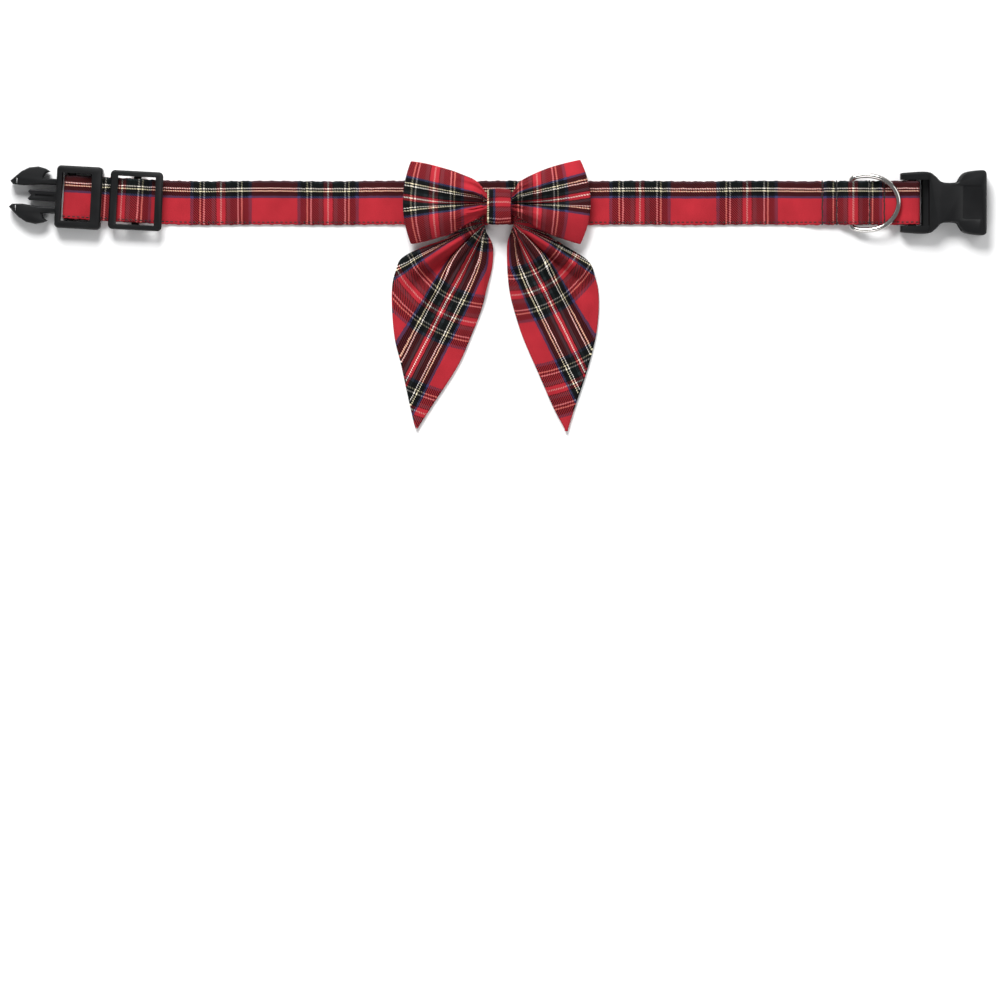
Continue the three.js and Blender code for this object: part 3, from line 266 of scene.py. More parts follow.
def tartan(name):
    """Two-and-two twill: the yarn on top shows, darkened by the yarn below where that one is darker."""
    made, tree = material(name)
    uv = add(tree, "UVMap", uv_map="cloth").outputs[0]
    parts = add(tree, "SeparateXYZ", {0: uv})
    wander = add(tree, "TexNoise", {"Vector": uv, "Scale": 0.35, "Detail": 2.0, "Roughness": 0.5})
    drift = add(tree, "MapRange", {"Value": wander.outputs[0], "To Min": -0.28, "To Max": 0.28}).outputs[0]
    x = add(tree, "Math", {0: parts.outputs[0], 1: drift}, operation="ADD").outputs[0]
    y = add(tree, "Math", {0: parts.outputs[1], 1: drift}, operation="SUBTRACT").outputs[0]
    warp = stripes(tree, x, SETT_ALONG / 2)
    weft = stripes(tree, y, SETT_ACROSS / 2)
    thread_x = add(tree, "Math", {0: x, 1: YARN_PITCH}, operation="DIVIDE").outputs[0]
    thread_y = add(tree, "Math", {0: y, 1: YARN_PITCH}, operation="DIVIDE").outputs[0]
    count_x = add(tree, "Math", {0: thread_x}, operation="FLOOR").outputs[0]
    count_y = add(tree, "Math", {0: thread_y}, operation="FLOOR").outputs[0]
    step = add(tree, "Math", {0: count_x, 1: count_y}, operation="ADD").outputs[0]
    order = add(tree, "Math", {0: step, 1: 4.0}, operation="FLOORED_MODULO").outputs[0]
    over = add(tree, "Math", {0: order, 1: 1.5}, operation="LESS_THAN").outputs[0]
    top = add(tree, "Mix", {0: over, 6: weft, 7: warp}, data_type="RGBA").outputs[2]
    darker = add(tree, "Mix", {0: 1.0, 6: warp, 7: weft}, data_type="RGBA", blend_type="DARKEN").outputs[2]
    through = add(tree, "Mix", {0: over, 2: UNDER_WEFT, 3: UNDER_WARP}).outputs[0]
    woven = add(tree, "Mix", {0: through, 6: top, 7: darker}, data_type="RGBA").outputs[2]
    fuzz = add(tree, "TexNoise", {"Vector": uv, "Scale": 2.2, "Detail": 3.0, "Roughness": 0.6}).outputs[0]
    patch = add(tree, "TexNoise", {"Vector": uv, "Scale": 0.05, "Detail": 2.0}).outputs[0]
    worn = add(tree, "Math", {0: fuzz, 1: patch}, operation="ADD").outputs[0]
    value = add(tree, "MapRange", {"Value": worn, "From Min": 0.6, "From Max": 1.4, "To Min": 0.72,
                                   "To Max": 1.26}).outputs[0]
    colour = add(tree, "HueSaturation", {"Value": value, "Color": woven}).outputs[0]
    arch_x = add(tree, "Math", {0: thread_x, 1: 0.5}, operation="PINGPONG").outputs[0]
    arch_y = add(tree, "Math", {0: thread_y, 1: 0.5}, operation="PINGPONG").outputs[0]
    arch = add(tree, "Mix", {0: over, 2: arch_y, 3: arch_x}).outputs[0]
    bump = add(tree, "Bump", {"Strength": 0.6, "Distance": 0.00025, "Height": arch}).outputs[0]
    shader = add(tree, "BsdfPrincipled", {
        "Base Color": colour, "Roughness": 0.85, "Specular IOR Level": 0.12, "Normal": bump,
    })
    finish_material(tree, shader)
    return made


cloth_strap = tartan("strap tartan, yarn dyed cotton twill")
print("tartan repeat, mm:", SETT_ALONG, "by", SETT_ACROSS)

# %% Moulded plastic, plated steel, thread and elastic
def moulded_plastic():
    """Black acetal from a fine-sparked mould: near black, a soft broad shine and a faint grain."""
    made, tree = material("moulded acetal, spark-eroded mould")
    place = add(tree, "TexCoord").outputs["Object"]
    grain = add(tree, "TexNoise", {"Vector": place, "Scale": 2600.0, "Detail": 3.0}).outputs[0]
    cloud = add(tree, "TexNoise", {"Vector": place, "Scale": 90.0, "Detail": 3.0}).outputs[0]
    colour = add(tree, "Mix", {0: cloud, 6: linear("#070708"), 7: linear("#0D0E10")},
                 data_type="RGBA").outputs[2]
    rough = add(tree, "MapRange", {"Value": cloud, "To Min": 0.34, "To Max": 0.48}).outputs[0]
    bump = add(tree, "Bump", {"Strength": 0.35, "Distance": 0.00006, "Height": grain}).outputs[0]
    shader = add(tree, "BsdfPrincipled", {
        "Base Color": colour, "Roughness": rough, "Specular IOR Level": 0.32, "Normal": bump,
    })
    finish_material(tree, shader)
    return made


def plated_steel():
    """Nickel-plated steel wire, barrel polished: bright, faintly warm, a little blurred by fine rubbing."""
    made, tree = material("nickel-plated steel wire, barrel polished")
    place = add(tree, "TexCoord").outputs["Object"]
    rub = add(tree, "TexNoise", {"Vector": place, "Scale": 320.0, "Detail": 4.0}).outputs[0]
    rough = add(tree, "MapRange", {"Value": rub, "To Min": 0.08, "To Max": 0.2}).outputs[0]
    colour = add(tree, "Mix", {0: rub, 6: linear("#B4B1AD"), 7: linear("#CBC9C6")},
                 data_type="RGBA").outputs[2]
    bump = add(tree, "Bump", {"Strength": 0.12, "Distance": 0.00005, "Height": rub}).outputs[0]
    shader = add(tree, "BsdfPrincipled", {
        "Base Color": colour, "Metallic": 1.0, "Roughness": rough, "Normal": bump,
    })
    finish_material(tree, shader)
    return made


def sewing_thread(name, dark, light):
    """Spun thread: two shades of one colour along its twist and a dull cotton surface."""
    made, tree = material(name)
    place = add(tree, "TexCoord").outputs["Object"]
    fibre = add(tree, "TexNoise", {"Vector": place, "Scale": 2200.0, "Detail": 2.0}).outputs[0]
    colour = add(tree, "Mix", {0: fibre, 6: linear(dark), 7: linear(light)}, data_type="RGBA").outputs[2]
    bump = add(tree, "Bump", {"Strength": 0.3, "Distance": 0.0001, "Height": fibre}).outputs[0]
    shader = add(tree, "BsdfPrincipled", {"Base Color": colour, "Roughness": 0.75, "Normal": bump})
    finish_material(tree, shader)
    return made


plastic = moulded_plastic()
steel = plated_steel()
black_thread = sewing_thread("black polyester thread, spun", "#060607", "#161517")
print("materials:", len(bpy.data.materials))


# %% [markdown]
# ## The bow's loops
# A bow tie's loops are one wide tube of cloth, flattened and then gathered in the middle by the knot. Each
# wing keeps the cloth's full width at its outer fold and narrows to the knot, with a deep crease down its
# middle. Round the knot the gathers fan out as small pleats that soon fade.

# %% Bow loops
GAP, CLOTH_WALL = 0.3, 1.2
WING_HALF, LOOP_DEPTH, VALLEY_DEPTH, LIFT_REACH = 24.2, 11.0, 7.5, 52.0
BOW_REST, WING_ROOT, TAIL_ROOT = 3.6, 7.7, 5.8
LEFT_WING, RIGHT_WING = (50.1, 4.6), (46.2, 5.9)
LEFT_ROWS = [dict(zip(("out", "top", "bottom", "depth", "valley"), row)) for row in (
    (0.0, 0.2, 0.25, 0.5, 0.3), (0.145, 0.22, 0.26, 0.56, 0.38), (0.2, 0.39, 0.31, 0.72, 0.58),
    (0.27, 0.52, 0.39, 0.84, 0.72), (0.39, 0.636, 0.533, 0.97, 0.76), (0.51, 0.736, 0.7, 1.0, 0.6),
    (0.69, 0.851, 0.818, 0.96, 0.34), (0.85, 0.934, 0.917, 0.86, 0.14), (1.0, 0.983, 0.975, 0.74, 0.04),
)]
RIGHT_ROWS = [dict(zip(("out", "top", "bottom", "depth", "valley"), row)) for row in (
    (0.0, 0.2, 0.25, 0.5, 0.3), (0.157, 0.22, 0.26, 0.56, 0.38), (0.234, 0.455, 0.322, 0.74, 0.58),
    (0.32, 0.57, 0.421, 0.87, 0.72), (0.426, 0.67, 0.541, 0.97, 0.76), (0.6, 0.81, 0.72, 1.0, 0.5),
    (0.814, 0.934, 0.868, 0.88, 0.18), (1.0, 1.017, 0.983, 0.74, 0.04),
)]
# Where a white stripe falls on each wing: mm from the knot and mm above the middle, with the stripes' scale
LEFT_STRIPE, RIGHT_STRIPE = (35.6, 3.4, 1.10), (21.3, 4.8, 1.14)
CREASE, CREASE_WIDTH = -0.06, 0.04
# Each sharp crease: its place across the wing, its depth in mm, its width, and where along the wing it fades
CREASES = ((CREASE, 3.4, 0.07, 2, 3), (0.3, 2.2, 0.06, 0.25, 0.5), (-0.42, 2.0, 0.06, 0.22, 0.42))
# Towards the knot the gathers swallow cloth, so the stripes shift by these mm above the crease, at the top
# edge and below the crease
SWALLOWED, SHIFT_ABOVE, SHIFT_EDGE, SHIFT_BELOW = 0.6, 9, 6.5, 6
VALLEY_WIDTH, VALLEY_SHARE, EDGE_DEPTH, END_SQUARENESS, ROUND_FOLD = 0.26, 0.8, 0.42, 14, 4
# Where along the wing the sharp creases start, are full, begin to fade and end
CREASED = (0.13, 0.2, 0.3, 0.72)
# Small pleats near the knot: each wave's height in mm, its turns across the wing, its phase and its slant
PLEATS = ((0.6, 13, 1, 0), (0.3, 27, 2, 5))
PLEAT_PLACE, PLEAT_WIDTH, WING_SWAY = 0.24, 0.2, 0.5


def back_lift(x):
    """How far the loops' back rises towards the knot."""
    return (WING_ROOT - BOW_REST) * (1 - smoothstep(np.abs(x), 0, LIFT_REACH))


def inset(surface, depth, ring):
    """A surface moved inwards by a depth along its normal."""
    normal = unit(np.cross(slopes(surface, 1, False), slopes(surface, 0, ring)))
    outward = (normal * (surface - surface.mean(axis=(0, 1)))).sum() > 0
    return surface - (normal if outward else -normal) * depth


def loops_surface(stations, columns):
    """The outer face of both loops as a closed band of rows: the front from the left end to the right end,
    then the back. Each row runs from the bottom edge to the top edge."""
    front_at = np.linspace(-1, 1, 2 * stations + 1)
    at = np.concatenate([front_at, front_at[1:-1][::-1]])[:, None]
    front = (np.arange(len(at)) < len(front_at))[:, None]
    v = np.linspace(-1, 1, columns)[None, :] * (1 - CLOTH_WALL / 2 / WING_HALF)
    out = np.sin(np.pi / 2 * np.abs(at))
    left = at < 0
    corner = np.where(left, LEFT_WING[0], RIGHT_WING[0])
    bulge = np.where(left, LEFT_WING[1], RIGHT_WING[1])
    get = {key: np.where(left, read(LEFT_ROWS, "out", key, out), read(RIGHT_ROWS, "out", key, out))
           for key in ("top", "bottom", "depth", "valley")}
    x = np.sign(at) * out * (corner + bulge * (1 - v**2) * out**2)
    y = v * WING_HALF * np.where(v > 0, get["top"], get["bottom"])
    dome = EDGE_DEPTH + (1 - EDGE_DEPTH) * (1 - np.abs(v) ** 2.5)
    valley = np.exp(-(((v - CREASE) / VALLEY_WIDTH) ** 2))
    gathered = smoothstep(out, *CREASED[:2]) * (1 - smoothstep(out, *CREASED[2:]))
    sharp = sum(
        deep * np.exp(-np.abs((v - place) / wide) ** 1.5) * (1 - smoothstep(out, fade, gone))
        for place, deep, wide, fade, gone in CREASES
    )
    depth = LOOP_DEPTH * get["depth"] * dome - VALLEY_SHARE * VALLEY_DEPTH * get["valley"] * valley
    depth = depth - gathered * sharp
    least = 2 * CLOTH_WALL + 0.1
    depth = least + np.logaddexp(0, (depth - least) * 2.5) / 2.5
    end = np.sqrt(np.maximum(1 - out**END_SQUARENESS, 0))
    z = BOW_REST + back_lift(x) + depth / 2 * np.where(front, 1 + end, 1 - end)
    near = np.exp(-(((out - PLEAT_PLACE) / PLEAT_WIDTH) ** 2)) * smoothstep(out, 0.13, 0.22)
    phase = np.where(left, 0.4, 2.1)
    pleats = near * sum(
        high * np.cos(turns * v + times * phase + slant * out) for high, turns, times, slant in PLEATS
    )
    sway = WING_SWAY * np.sin(3.1 * v + 4.2 * out + phase) * smoothstep(out, 0.3, 0.8) * (1 - out**6)
    z = z + np.where(front, 1.0, -0.25) * end * (pleats + sway)
    surface = np.stack(np.broadcast_arrays(x, y, z), -1)
    ahead = np.where(front, out * corner, 2 * corner - out * corner + ROUND_FOLD)
    stripe, height, scale = (np.where(left, a, b) for a, b in zip(LEFT_STRIPE, RIGHT_STRIPE))
    u = (ahead - stripe) * scale * np.where(left, -1, 1)
    swallowed = SWALLOWED * (1 - out**2)
    above = SHIFT_ABOVE + (SHIFT_EDGE - SHIFT_ABOVE) * (v - CREASE) / (1 - CREASE)
    below = -SHIFT_BELOW * (1 - (CREASE - v) / (1 + CREASE))
    share = 0.5 + 0.5 * np.tanh((v - CREASE) / CREASE_WIDTH)
    across = v * WING_HALF - height + swallowed * (above * share + below * (1 - share))
    uv = np.stack(np.broadcast_arrays(u, across), -1)
    return surface, uv


loop_face, loop_uv = loops_surface(stations=56, columns=101)
bow_loops = skin("bow_loops_cloth", inset(loop_face, CLOTH_WALL / 2, True), CLOTH_WALL, loop_uv, ring=True)

# %% [markdown]
# ## The knot
# The knot is a short band of the same tartan, wrapped round the gathers and sewn shut behind. It bulges a
# little in its middle, and its edges are folded under.

# %% Bow knot
KNOT_HEIGHT, KNOT_BULGE, KNOT_CREASE, KNOT_SQUARENESS = 12.6, 0.7, 0.12, 0.5
KNOT_STRIPE_X, KNOT_STRIPE_Y = -14.5, 0.3


def knot_surface(rows, columns):
    """The knot's outer face: a rounded rectangle round the X axis whose edges draw in."""
    angle = np.linspace(0, 2 * np.pi, rows, endpoint=False)[:, None]
    across = np.linspace(-1, 1, columns)[None, :]
    offset = -KNOT_BULGE * across**2 + KNOT_CREASE * np.cos(3 * angle + 4 * across) * (1 - across**2)
    c, s = np.cos(angle), np.sin(angle)
    c, s = (np.sign(part) * np.abs(part) ** KNOT_SQUARENESS for part in (c, s))
    y = (KNOT_TOP - KNOT_BOTTOM) / 2 + ((KNOT_TOP + KNOT_BOTTOM) / 2 + offset) * c
    z = BOW_REST + KNOT_HEIGHT / 2 + (KNOT_HEIGHT / 2 + offset) * s
    x = across * (KNOT_WIDTH - CLOTH_WALL) / 2 + 0 * angle
    surface = np.stack(np.broadcast_arrays(x, y, z), -1)
    middle = surface[:, columns // 2]
    steps = np.linalg.norm(np.diff(middle, axis=0, prepend=middle[:1]), axis=1)
    arc = np.cumsum(steps)[:, None]
    upper = middle[:, 2] > middle[:, 2].mean()
    start = arc[np.argmin(np.abs(middle[:, 1] - KNOT_STRIPE_Y) + 100 * ~upper)]
    uv = np.stack(np.broadcast_arrays(arc - start, x - KNOT_STRIPE_X), -1)
    return surface, uv


knot_face, knot_uv = knot_surface(rows=150, columns=25)
bow_knot = skin("bow_knot_cloth", inset(knot_face, CLOTH_WALL / 2, True), CLOTH_WALL, knot_uv, ring=True)

# %% [markdown]
# ## The tails
# Each tail is a pointed sash of doubled cloth that leaves the knot gathered and fans out. Its pleats are
# deep at the knot and die away before the point, so the stripes start close together and then run straight.

# %% Bow tails
TAIL_SPREAD, TAIL_DROP, TAIL_THICK, PLEAT_HEIGHT, PUFF_SHARE = 61.0, 130.0, 1.6, 6.0, 0.62
TAIL_KEYS = ("row", "outX", "outY", "inX", "inY", "lift", "pleat")
LEFT_TAIL = [dict(zip(TAIL_KEYS, (n, *row))) for n, row in enumerate((
    (0.007, -0.019, 0.007, 0.046, 1.0, 0.0), (0.125, -0.012, 0.125, 0.05, 1.0, 0.0),
    (0.23, 0.031, 0.14, 0.081, 0.72, 0.0), (0.42, 0.136, 0.12, 0.124, 0.6, 0.03),
    (0.751, 0.203, 0.06, 0.181, 0.34, 0.8), (0.911, 0.244, 0.054, 0.227, 0.12, 1.0),
    (0.961, 0.292, 0.066, 0.288, 0.0, 0.9), (0.998, 0.362, 0.115, 0.377, 0.0, 0.7),
    (1.0, 0.462, 0.162, 0.465, 0.0, 0.45), (0.975, 0.592, 0.254, 0.577, 0.0, 0.2),
    (0.915, 0.708, 0.385, 0.715, 0.0, 0.08), (0.852, 0.846, 0.607, 0.877, 0.0, 0.0),
    (0.8, 0.954, 0.702, 0.946, 0.0, 0.0), (0.778, 0.988, 0.76, 0.988, 0.0, 0.0),
))]
RIGHT_TAIL = [dict(zip(TAIL_KEYS, (n, *row))) for n, row in enumerate((
    (0.007, -0.019, 0.007, 0.046, 1.0, 0.0), (0.125, -0.012, 0.125, 0.05, 1.0, 0.0),
    (0.246, 0.038, 0.14, 0.081, 0.72, 0.0), (0.467, 0.143, 0.115, 0.121, 0.6, 0.03),
    (0.579, 0.177, 0.08, 0.17, 0.4, 0.7), (0.831, 0.255, 0.074, 0.221, 0.12, 1.0),
    (0.903, 0.331, 0.08, 0.315, 0.0, 0.9), (0.931, 0.4, 0.103, 0.4, 0.0, 0.7),
    (0.928, 0.5, 0.152, 0.489, 0.0, 0.45), (0.895, 0.608, 0.225, 0.592, 0.0, 0.2),
    (0.81, 0.754, 0.367, 0.746, 0.0, 0.08), (0.715, 0.888, 0.51, 0.899, 0.0, 0.0),
    (0.664, 0.962, 0.59, 0.969, 0.0, 0.0), (0.638, 1.0, 0.622, 1.0, 0.0, 0.0),
))]
# The stripes and folds fan out from a point under the knot; the stripes run straight from this far down
FAN_X, FAN_Y, FAN_REACH, TAIL_SETT, TAIL_ACROSS = 6.84, -10.83, 26.0, 57.2, 45.0
# Beyond the upper twin stripes, at BEND_AT, the stripes fan wider, so that the next twins lie on one line
BEND_AT, NEXT_TWIN, NEXT_TURN = 7.7, 35.3, 0.611
# Each fold: its angle from straight down and its width in degrees, its height in mm, and the distances at
# which it starts, is full, begins to fade and ends
FOLDS = (
    (57.0, 4.6, 3.2, 8, 15, 42, 64), (47.0, 4.2, -5.0, 8, 15, 46, 66), (38.5, 4.2, 3.0, 8, 15, 46, 66),
    (20.0, 7.0, -4.6, 6, 10, 24, 46), (30.5, 3.0, 1.4, 8, 14, 30, 50), (4.0, 5.0, 2.6, 6, 10, 34, 56),
    (13.0, 2.0, 1.6, 8, 12, 22, 30), (64.0, 3.0, -1.8, 20, 30, 44, 56),
)


def tail_surface(table, side, rows, columns, lean, first_stripe):
    """A tail's middle face. Its two edges come from the table, and its height is the sum of its lift at the
    knot, one broad puff across its width, the folds and a little unevenness. Its UV map is polar: the
    distance from the fan's middle, and the angle from the stripes' lean times that distance."""
    at = np.linspace(0, len(table) - 1, rows)[:, None]
    get = {key: read(table, "row", key, at) for key in TAIL_KEYS[1:]}
    width = np.hypot(TAIL_SPREAD * (get["outX"] - get["inX"]), TAIL_DROP * (get["outY"] - get["inY"]))
    edge = np.minimum(TAIL_THICK / 2 / np.maximum(width, 0.1), 0.4)
    share = edge + (1 - 2 * edge) * np.linspace(0, 1, columns)[None, :]
    x = side * TAIL_SPREAD * (get["outX"] * (1 - share) + get["inX"] * share)
    y = -TAIL_DROP * (get["outY"] * (1 - share) + get["inY"] * share)
    dx, dy = side * x - FAN_X, FAN_Y - y
    radius, angle = np.hypot(dx, dy), np.arctan2(dx, dy)
    folds = sum(
        height * np.exp(-np.abs((np.degrees(angle) - place) / wide) ** 1.7)
        * smoothstep(radius, start, full) * (1 - smoothstep(radius, fade, end))
        for place, wide, height, start, full, fade, end in FOLDS
    )
    lift, pleat = np.maximum(get["lift"], 0), np.maximum(get["pleat"], 0)
    puff = PLEAT_HEIGHT * pleat * PUFF_SHARE * np.sin(np.pi * np.clip(share, 0, 1)) ** 0.7
    small = smoothstep(at, 3.2, 5.5) * (1 - smoothstep(at, 6, 10.5))
    fine = small * (0.35 * np.cos(23 * share + 1.3 * side) + 0.2 * np.sin(41 * share + at))
    curl = 0.35 * smoothstep(at, 8, 12) * (1 - share) * share * 4 * (1 + np.sin(at * 1.1 + side))
    z = np.logaddexp(0, 2 * (TAIL_ROOT * lift + puff + folds + fine + curl)) / 2 + TAIL_THICK / 2
    surface = np.stack(np.broadcast_arrays(x, y, z), -1)
    turn = angle - math.radians(lean)
    reach = (radius**8 + FAN_REACH**8) ** 0.125
    pitch = reach * SETT_ACROSS / TAIL_ACROSS
    bend = BEND_AT / pitch
    beyond = BEND_AT + (turn - bend) * (NEXT_TWIN - BEND_AT) / (NEXT_TURN - bend)
    v = np.where(turn < bend, pitch * turn, beyond)
    uv = np.stack([(radius - first_stripe) * SETT_ALONG / TAIL_SETT, v], -1)
    return surface, uv


left_face, left_uv = tail_surface(LEFT_TAIL, -1, rows=170, columns=91, lean=27.0, first_stripe=57.8)
right_face, right_uv = tail_surface(RIGHT_TAIL, 1, rows=170, columns=91, lean=26.2, first_stripe=41.6)
tail_left = skin("tail_left_cloth", left_face, TAIL_THICK, left_uv)
tail_right = skin("tail_right_cloth", right_face, TAIL_THICK, right_uv)


# %% [markdown]
# ## The strap
# The strap is one ribbon: a tube of tartan turned over a webbing core and closed with a row of stitches
# near its lower edge. Its right end is folded round the socket's bar and sewn back under itself, with a
# sewn tunnel for the ring. Its left end goes over the slider, round the plug's bar and back to the slider's
# pin.

# %% Strap ribbon
STRAP_WIDTH, STRAP_CLOTH, FOLD_RADIUS = 25.0, 1.64, 2.4
TURN_START, TURN_LENGTH, TURN_ANGLE = 168.0, 36.0, math.radians(3.2)
STRAP_PATH = np.array([
    (180.1, 0.9), (218.96, 0.9), (230.9, 2.7), (238.5, 2.7), (238.5, 5.5), (238.5, 8.3), (232.7, 8.3),
    (218.96, 2.6), (210.96, 2.6), (202.4, 6.3), (198.8, 6.3), (192.46, 2.6), (180.1, 2.6), (172.1, 0.9),
    (53.5, 0.9), (45.5, 2.4), (0.0, 2.4), (-43.5, 2.4), (-51.5, 0.9), (-168.0, 0.9), (-189.1, 0.9),
    (-195.6, 3.5), (-204.2, 7.8), (-208.6, 7.8), (-215.5, 4.7), (-232.0, 4.7), (-239.7, 6.3), (-247.1, 6.3),
    (-247.1, 3.6), (-247.1, 0.9), (-233.0, 0.9), (-227.6, 2.6), (-215.5, 2.6), (-208.6, 5.7), (-203.0, 5.7),
    (-203.0, 3.3), (-203.0, 0.9), (-229.4, 0.9),
])


def rounded(corners, radius, points=7):
    """A path through corners, each cut by a curve that starts and ends a radius away, or half way at most."""
    here, back, ahead = corners[1:-1], corners[:-2] - corners[1:-1], corners[2:] - corners[1:-1]
    back_long = np.linalg.norm(back, axis=1, keepdims=True)
    ahead_long = np.linalg.norm(ahead, axis=1, keepdims=True)
    start = here + back / back_long * np.minimum(radius, back_long / 2)
    end = here + ahead / ahead_long * np.minimum(radius, ahead_long / 2)
    t = np.linspace(0, 1, points)[None, :, None]
    curves = (1 - t) ** 2 * start[:, None] + 2 * t * (1 - t) * here[:, None] + t**2 * end[:, None]
    return np.concatenate([corners[:1], curves.reshape(-1, corners.shape[1]), corners[-1:]])


def resampled(path, step):
    """The same path with even steps, and the length along it at each point."""
    lengths = np.linalg.norm(np.diff(path, axis=0), axis=1)
    arc = np.concatenate([[0], np.cumsum(lengths)])
    even = np.linspace(0, arc[-1], int(arc[-1] / step) + 1)
    return np.stack([np.interp(even, arc, path[:, k]) for k in range(path.shape[1])], -1), even


def lay_along(points):
    """The strap's slow turn at its left end: where a point of the straight strap comes to lie."""
    past = np.maximum(-TURN_START - points[..., 0], 0)
    y, radius = points[..., 1], TURN_LENGTH / TURN_ANGLE
    turn = np.minimum(past / radius, TURN_ANGLE)
    straight = np.maximum(past - TURN_LENGTH, 0)
    x = -TURN_START - (radius - y) * np.sin(turn) - straight * np.cos(turn)
    bent = radius - (radius - y) * np.cos(turn) + straight * np.sin(turn)
    moved = np.stack([x, bent, points[..., 2]], -1)
    return np.where((past > 0)[..., None], moved, points)


strap_path, strap_arc = resampled(rounded(STRAP_PATH, FOLD_RADIUS), 0.5)
on_main = np.abs(strap_path[:, 0]) + 100 * (strap_path[:, 1] > 3)
ARC_AT_KNOT = strap_arc[np.argmin(on_main)]
STITCH_STEP, SEAM_STEP = 2.6, 2.1
SEAM_WIDTH, SEAM_PRESS, CROSS_WIDTH, CROSS_PRESS, CROSS_PINCH = 0.55, 0.42, 0.9, 0.6, 0.55
SEAM_Y, CROSS_SEAMS = -11.0, (184.1, 192.4, 210.9, 219.5)
STRIPE_LEFT, STRIPE_SLIP, STRIPE_END_SLIP, STRIPE_TOP, STRIPE_BACK = 97.4, 5.1, 3.0, 15.1, 1.6
# Slow waves of the strap's height and of its edges: size in mm, turn in each mm along the strap and, for the
# height, across it, and start
HEIGHT_WAVES = ((0.05, 0.41, 0.3, 0.0), (0.04, 1.13, -0.22, 1.0))
EDGE_WAVES = ((0.14, 0.83, 0.0), (0.1, 1.9, 1.0))
STRAP_SWAY, SWAY_END = 0.16, 185.0


def ribbon(path, arc, columns):
    """The strap's middle face, its thickness and its UV map on the front and the back. It is thinner in the
    stitched lines, fuller beside them, and its cloth waves a little between the stitches."""
    share = np.linspace(-1, 1, columns)[None, :]
    across = share * (STRAP_WIDTH - STRAP_CLOTH) / 2
    x, z, run = path[:, :1], path[:, 1:], arc[:, None]
    straight = smoothstep(-np.abs(np.gradient(path[:, 1]) / np.gradient(arc))[:, None], -0.25, -0.02)
    wave = sum(high * np.sin(run * turns + slant * across + start)
               for high, turns, slant, start in HEIGHT_WAVES)
    sewn = sum(np.exp(-(((x - place) / CROSS_WIDTH) ** 2)) for place in CROSS_SEAMS)
    pinch = sum(wide * np.sin(run * turns + start) for wide, turns, start in EDGE_WAVES) - CROSS_PINCH * sewn
    sway = STRAP_SWAY * np.sin(run * 0.09) * (np.abs(x) < SWAY_END)
    grid = np.stack(np.broadcast_arrays(x, across + pinch * share**5 + sway, z + wave * straight), -1)
    pressed = 0.8 + 0.2 * np.cos(2 * np.pi * run / STITCH_STEP)
    seam = np.exp(-(((across - SEAM_Y) / SEAM_WIDTH) ** 2)) * pressed
    thick = STRAP_CLOTH - SEAM_PRESS * seam - CROSS_PRESS * sewn + 0 * across
    place = -(run - ARC_AT_KNOT)
    slip = STRIPE_SLIP * smoothstep(place, -25, 25) - STRIPE_END_SLIP * smoothstep(-place, 190, 200)
    u = place + STRIPE_LEFT + slip + 0 * across
    front = np.stack([u, across - STRIPE_TOP + 0 * run], -1)
    back = np.stack([u, STRAP_WIDTH / 2 - STRIPE_BACK - across + 0 * run], -1)
    return lay_along(grid), thick, front, back


strap_face, strap_thick, strap_uv, strap_back = ribbon(strap_path, strap_arc, columns=31)
strap = skin("strap_cloth", strap_face, strap_thick, strap_uv, uv_back=strap_back)
print("strap ribbon's length, mm:", round(float(strap_arc[-1]), 1))

# %% [markdown]
# ## Stitches
# A lockstitch shows as a row of short thread dashes, each pressed a little into the cloth. All of them are
# one joined piece that lies on the strap's outer faces.

# %% Stitches
STITCH_LONG, STITCH_WIDE, STITCH_HIGH, SEAM_STITCH = 1.75, 0.72, 0.46, 1.3
STITCH_POINT, STITCH_FULLNESS, SEAM_WANDER, SEAM_SUNK = 0.52, 0.6, 0.16, 0.16


def dashes(name, centres, along, normal, size, thread):
    """One mesh of many small rounded dashes: a sphere drawn out along each stitch and flattened."""
    rings, sides = 7, 8
    tilt = np.linspace(0, np.pi, rings)[1:-1, None]
    spin = np.linspace(0, 2 * np.pi, sides, endpoint=False)[None, :]
    a = np.broadcast_to(np.cos(tilt) * STITCH_LONG / 2, (rings - 2, sides)).ravel()
    b = (np.sin(tilt) ** STITCH_FULLNESS * np.cos(spin) * STITCH_WIDE / 2).ravel()
    c = (np.sin(tilt) ** STITCH_FULLNESS * np.sin(spin) * STITCH_HIGH / 2).ravel()
    point = STITCH_POINT * STITCH_LONG
    a, b, c = (np.append(part, ends) for part, ends in ((a, (point, -point)), (b, (0, 0)), (c, (0, 0))))
    side = unit(np.cross(normal, along)) * size[:, None]
    along = along * size[:, None]
    points = (centres[:, None] + along[:, None] * a[None, :, None] + side[:, None] * b[None, :, None]
              + normal[:, None] * c[None, :, None])
    i, j = np.meshgrid(np.arange(rings - 3), np.arange(sides), indexing="ij")
    k = (j + 1) % sides
    quads = np.stack([i * sides + j, (i + 1) * sides + j, (i + 1) * sides + k, i * sides + k], -1)
    quads = quads.reshape(-1, 4)
    s = np.arange(sides)
    first, last, low = (rings - 2) * sides, (rings - 2) * sides + 1, (rings - 3) * sides
    head = np.stack([np.full(sides, first), s, (s + 1) % sides], -1)
    tail = np.stack([np.full(sides, last), low + (s + 1) % sides, low + s], -1)
    shift = (np.arange(len(centres)) * len(a))[:, None, None]
    parts = [(part[None] + shift).reshape(-1, part.shape[1]) for part in (quads, head, tail)]
    made = put(name, points.reshape(-1, 3), parts)
    made.data.materials.append(thread)
    print(f"{name}: {len(centres)} stitches")
    return made


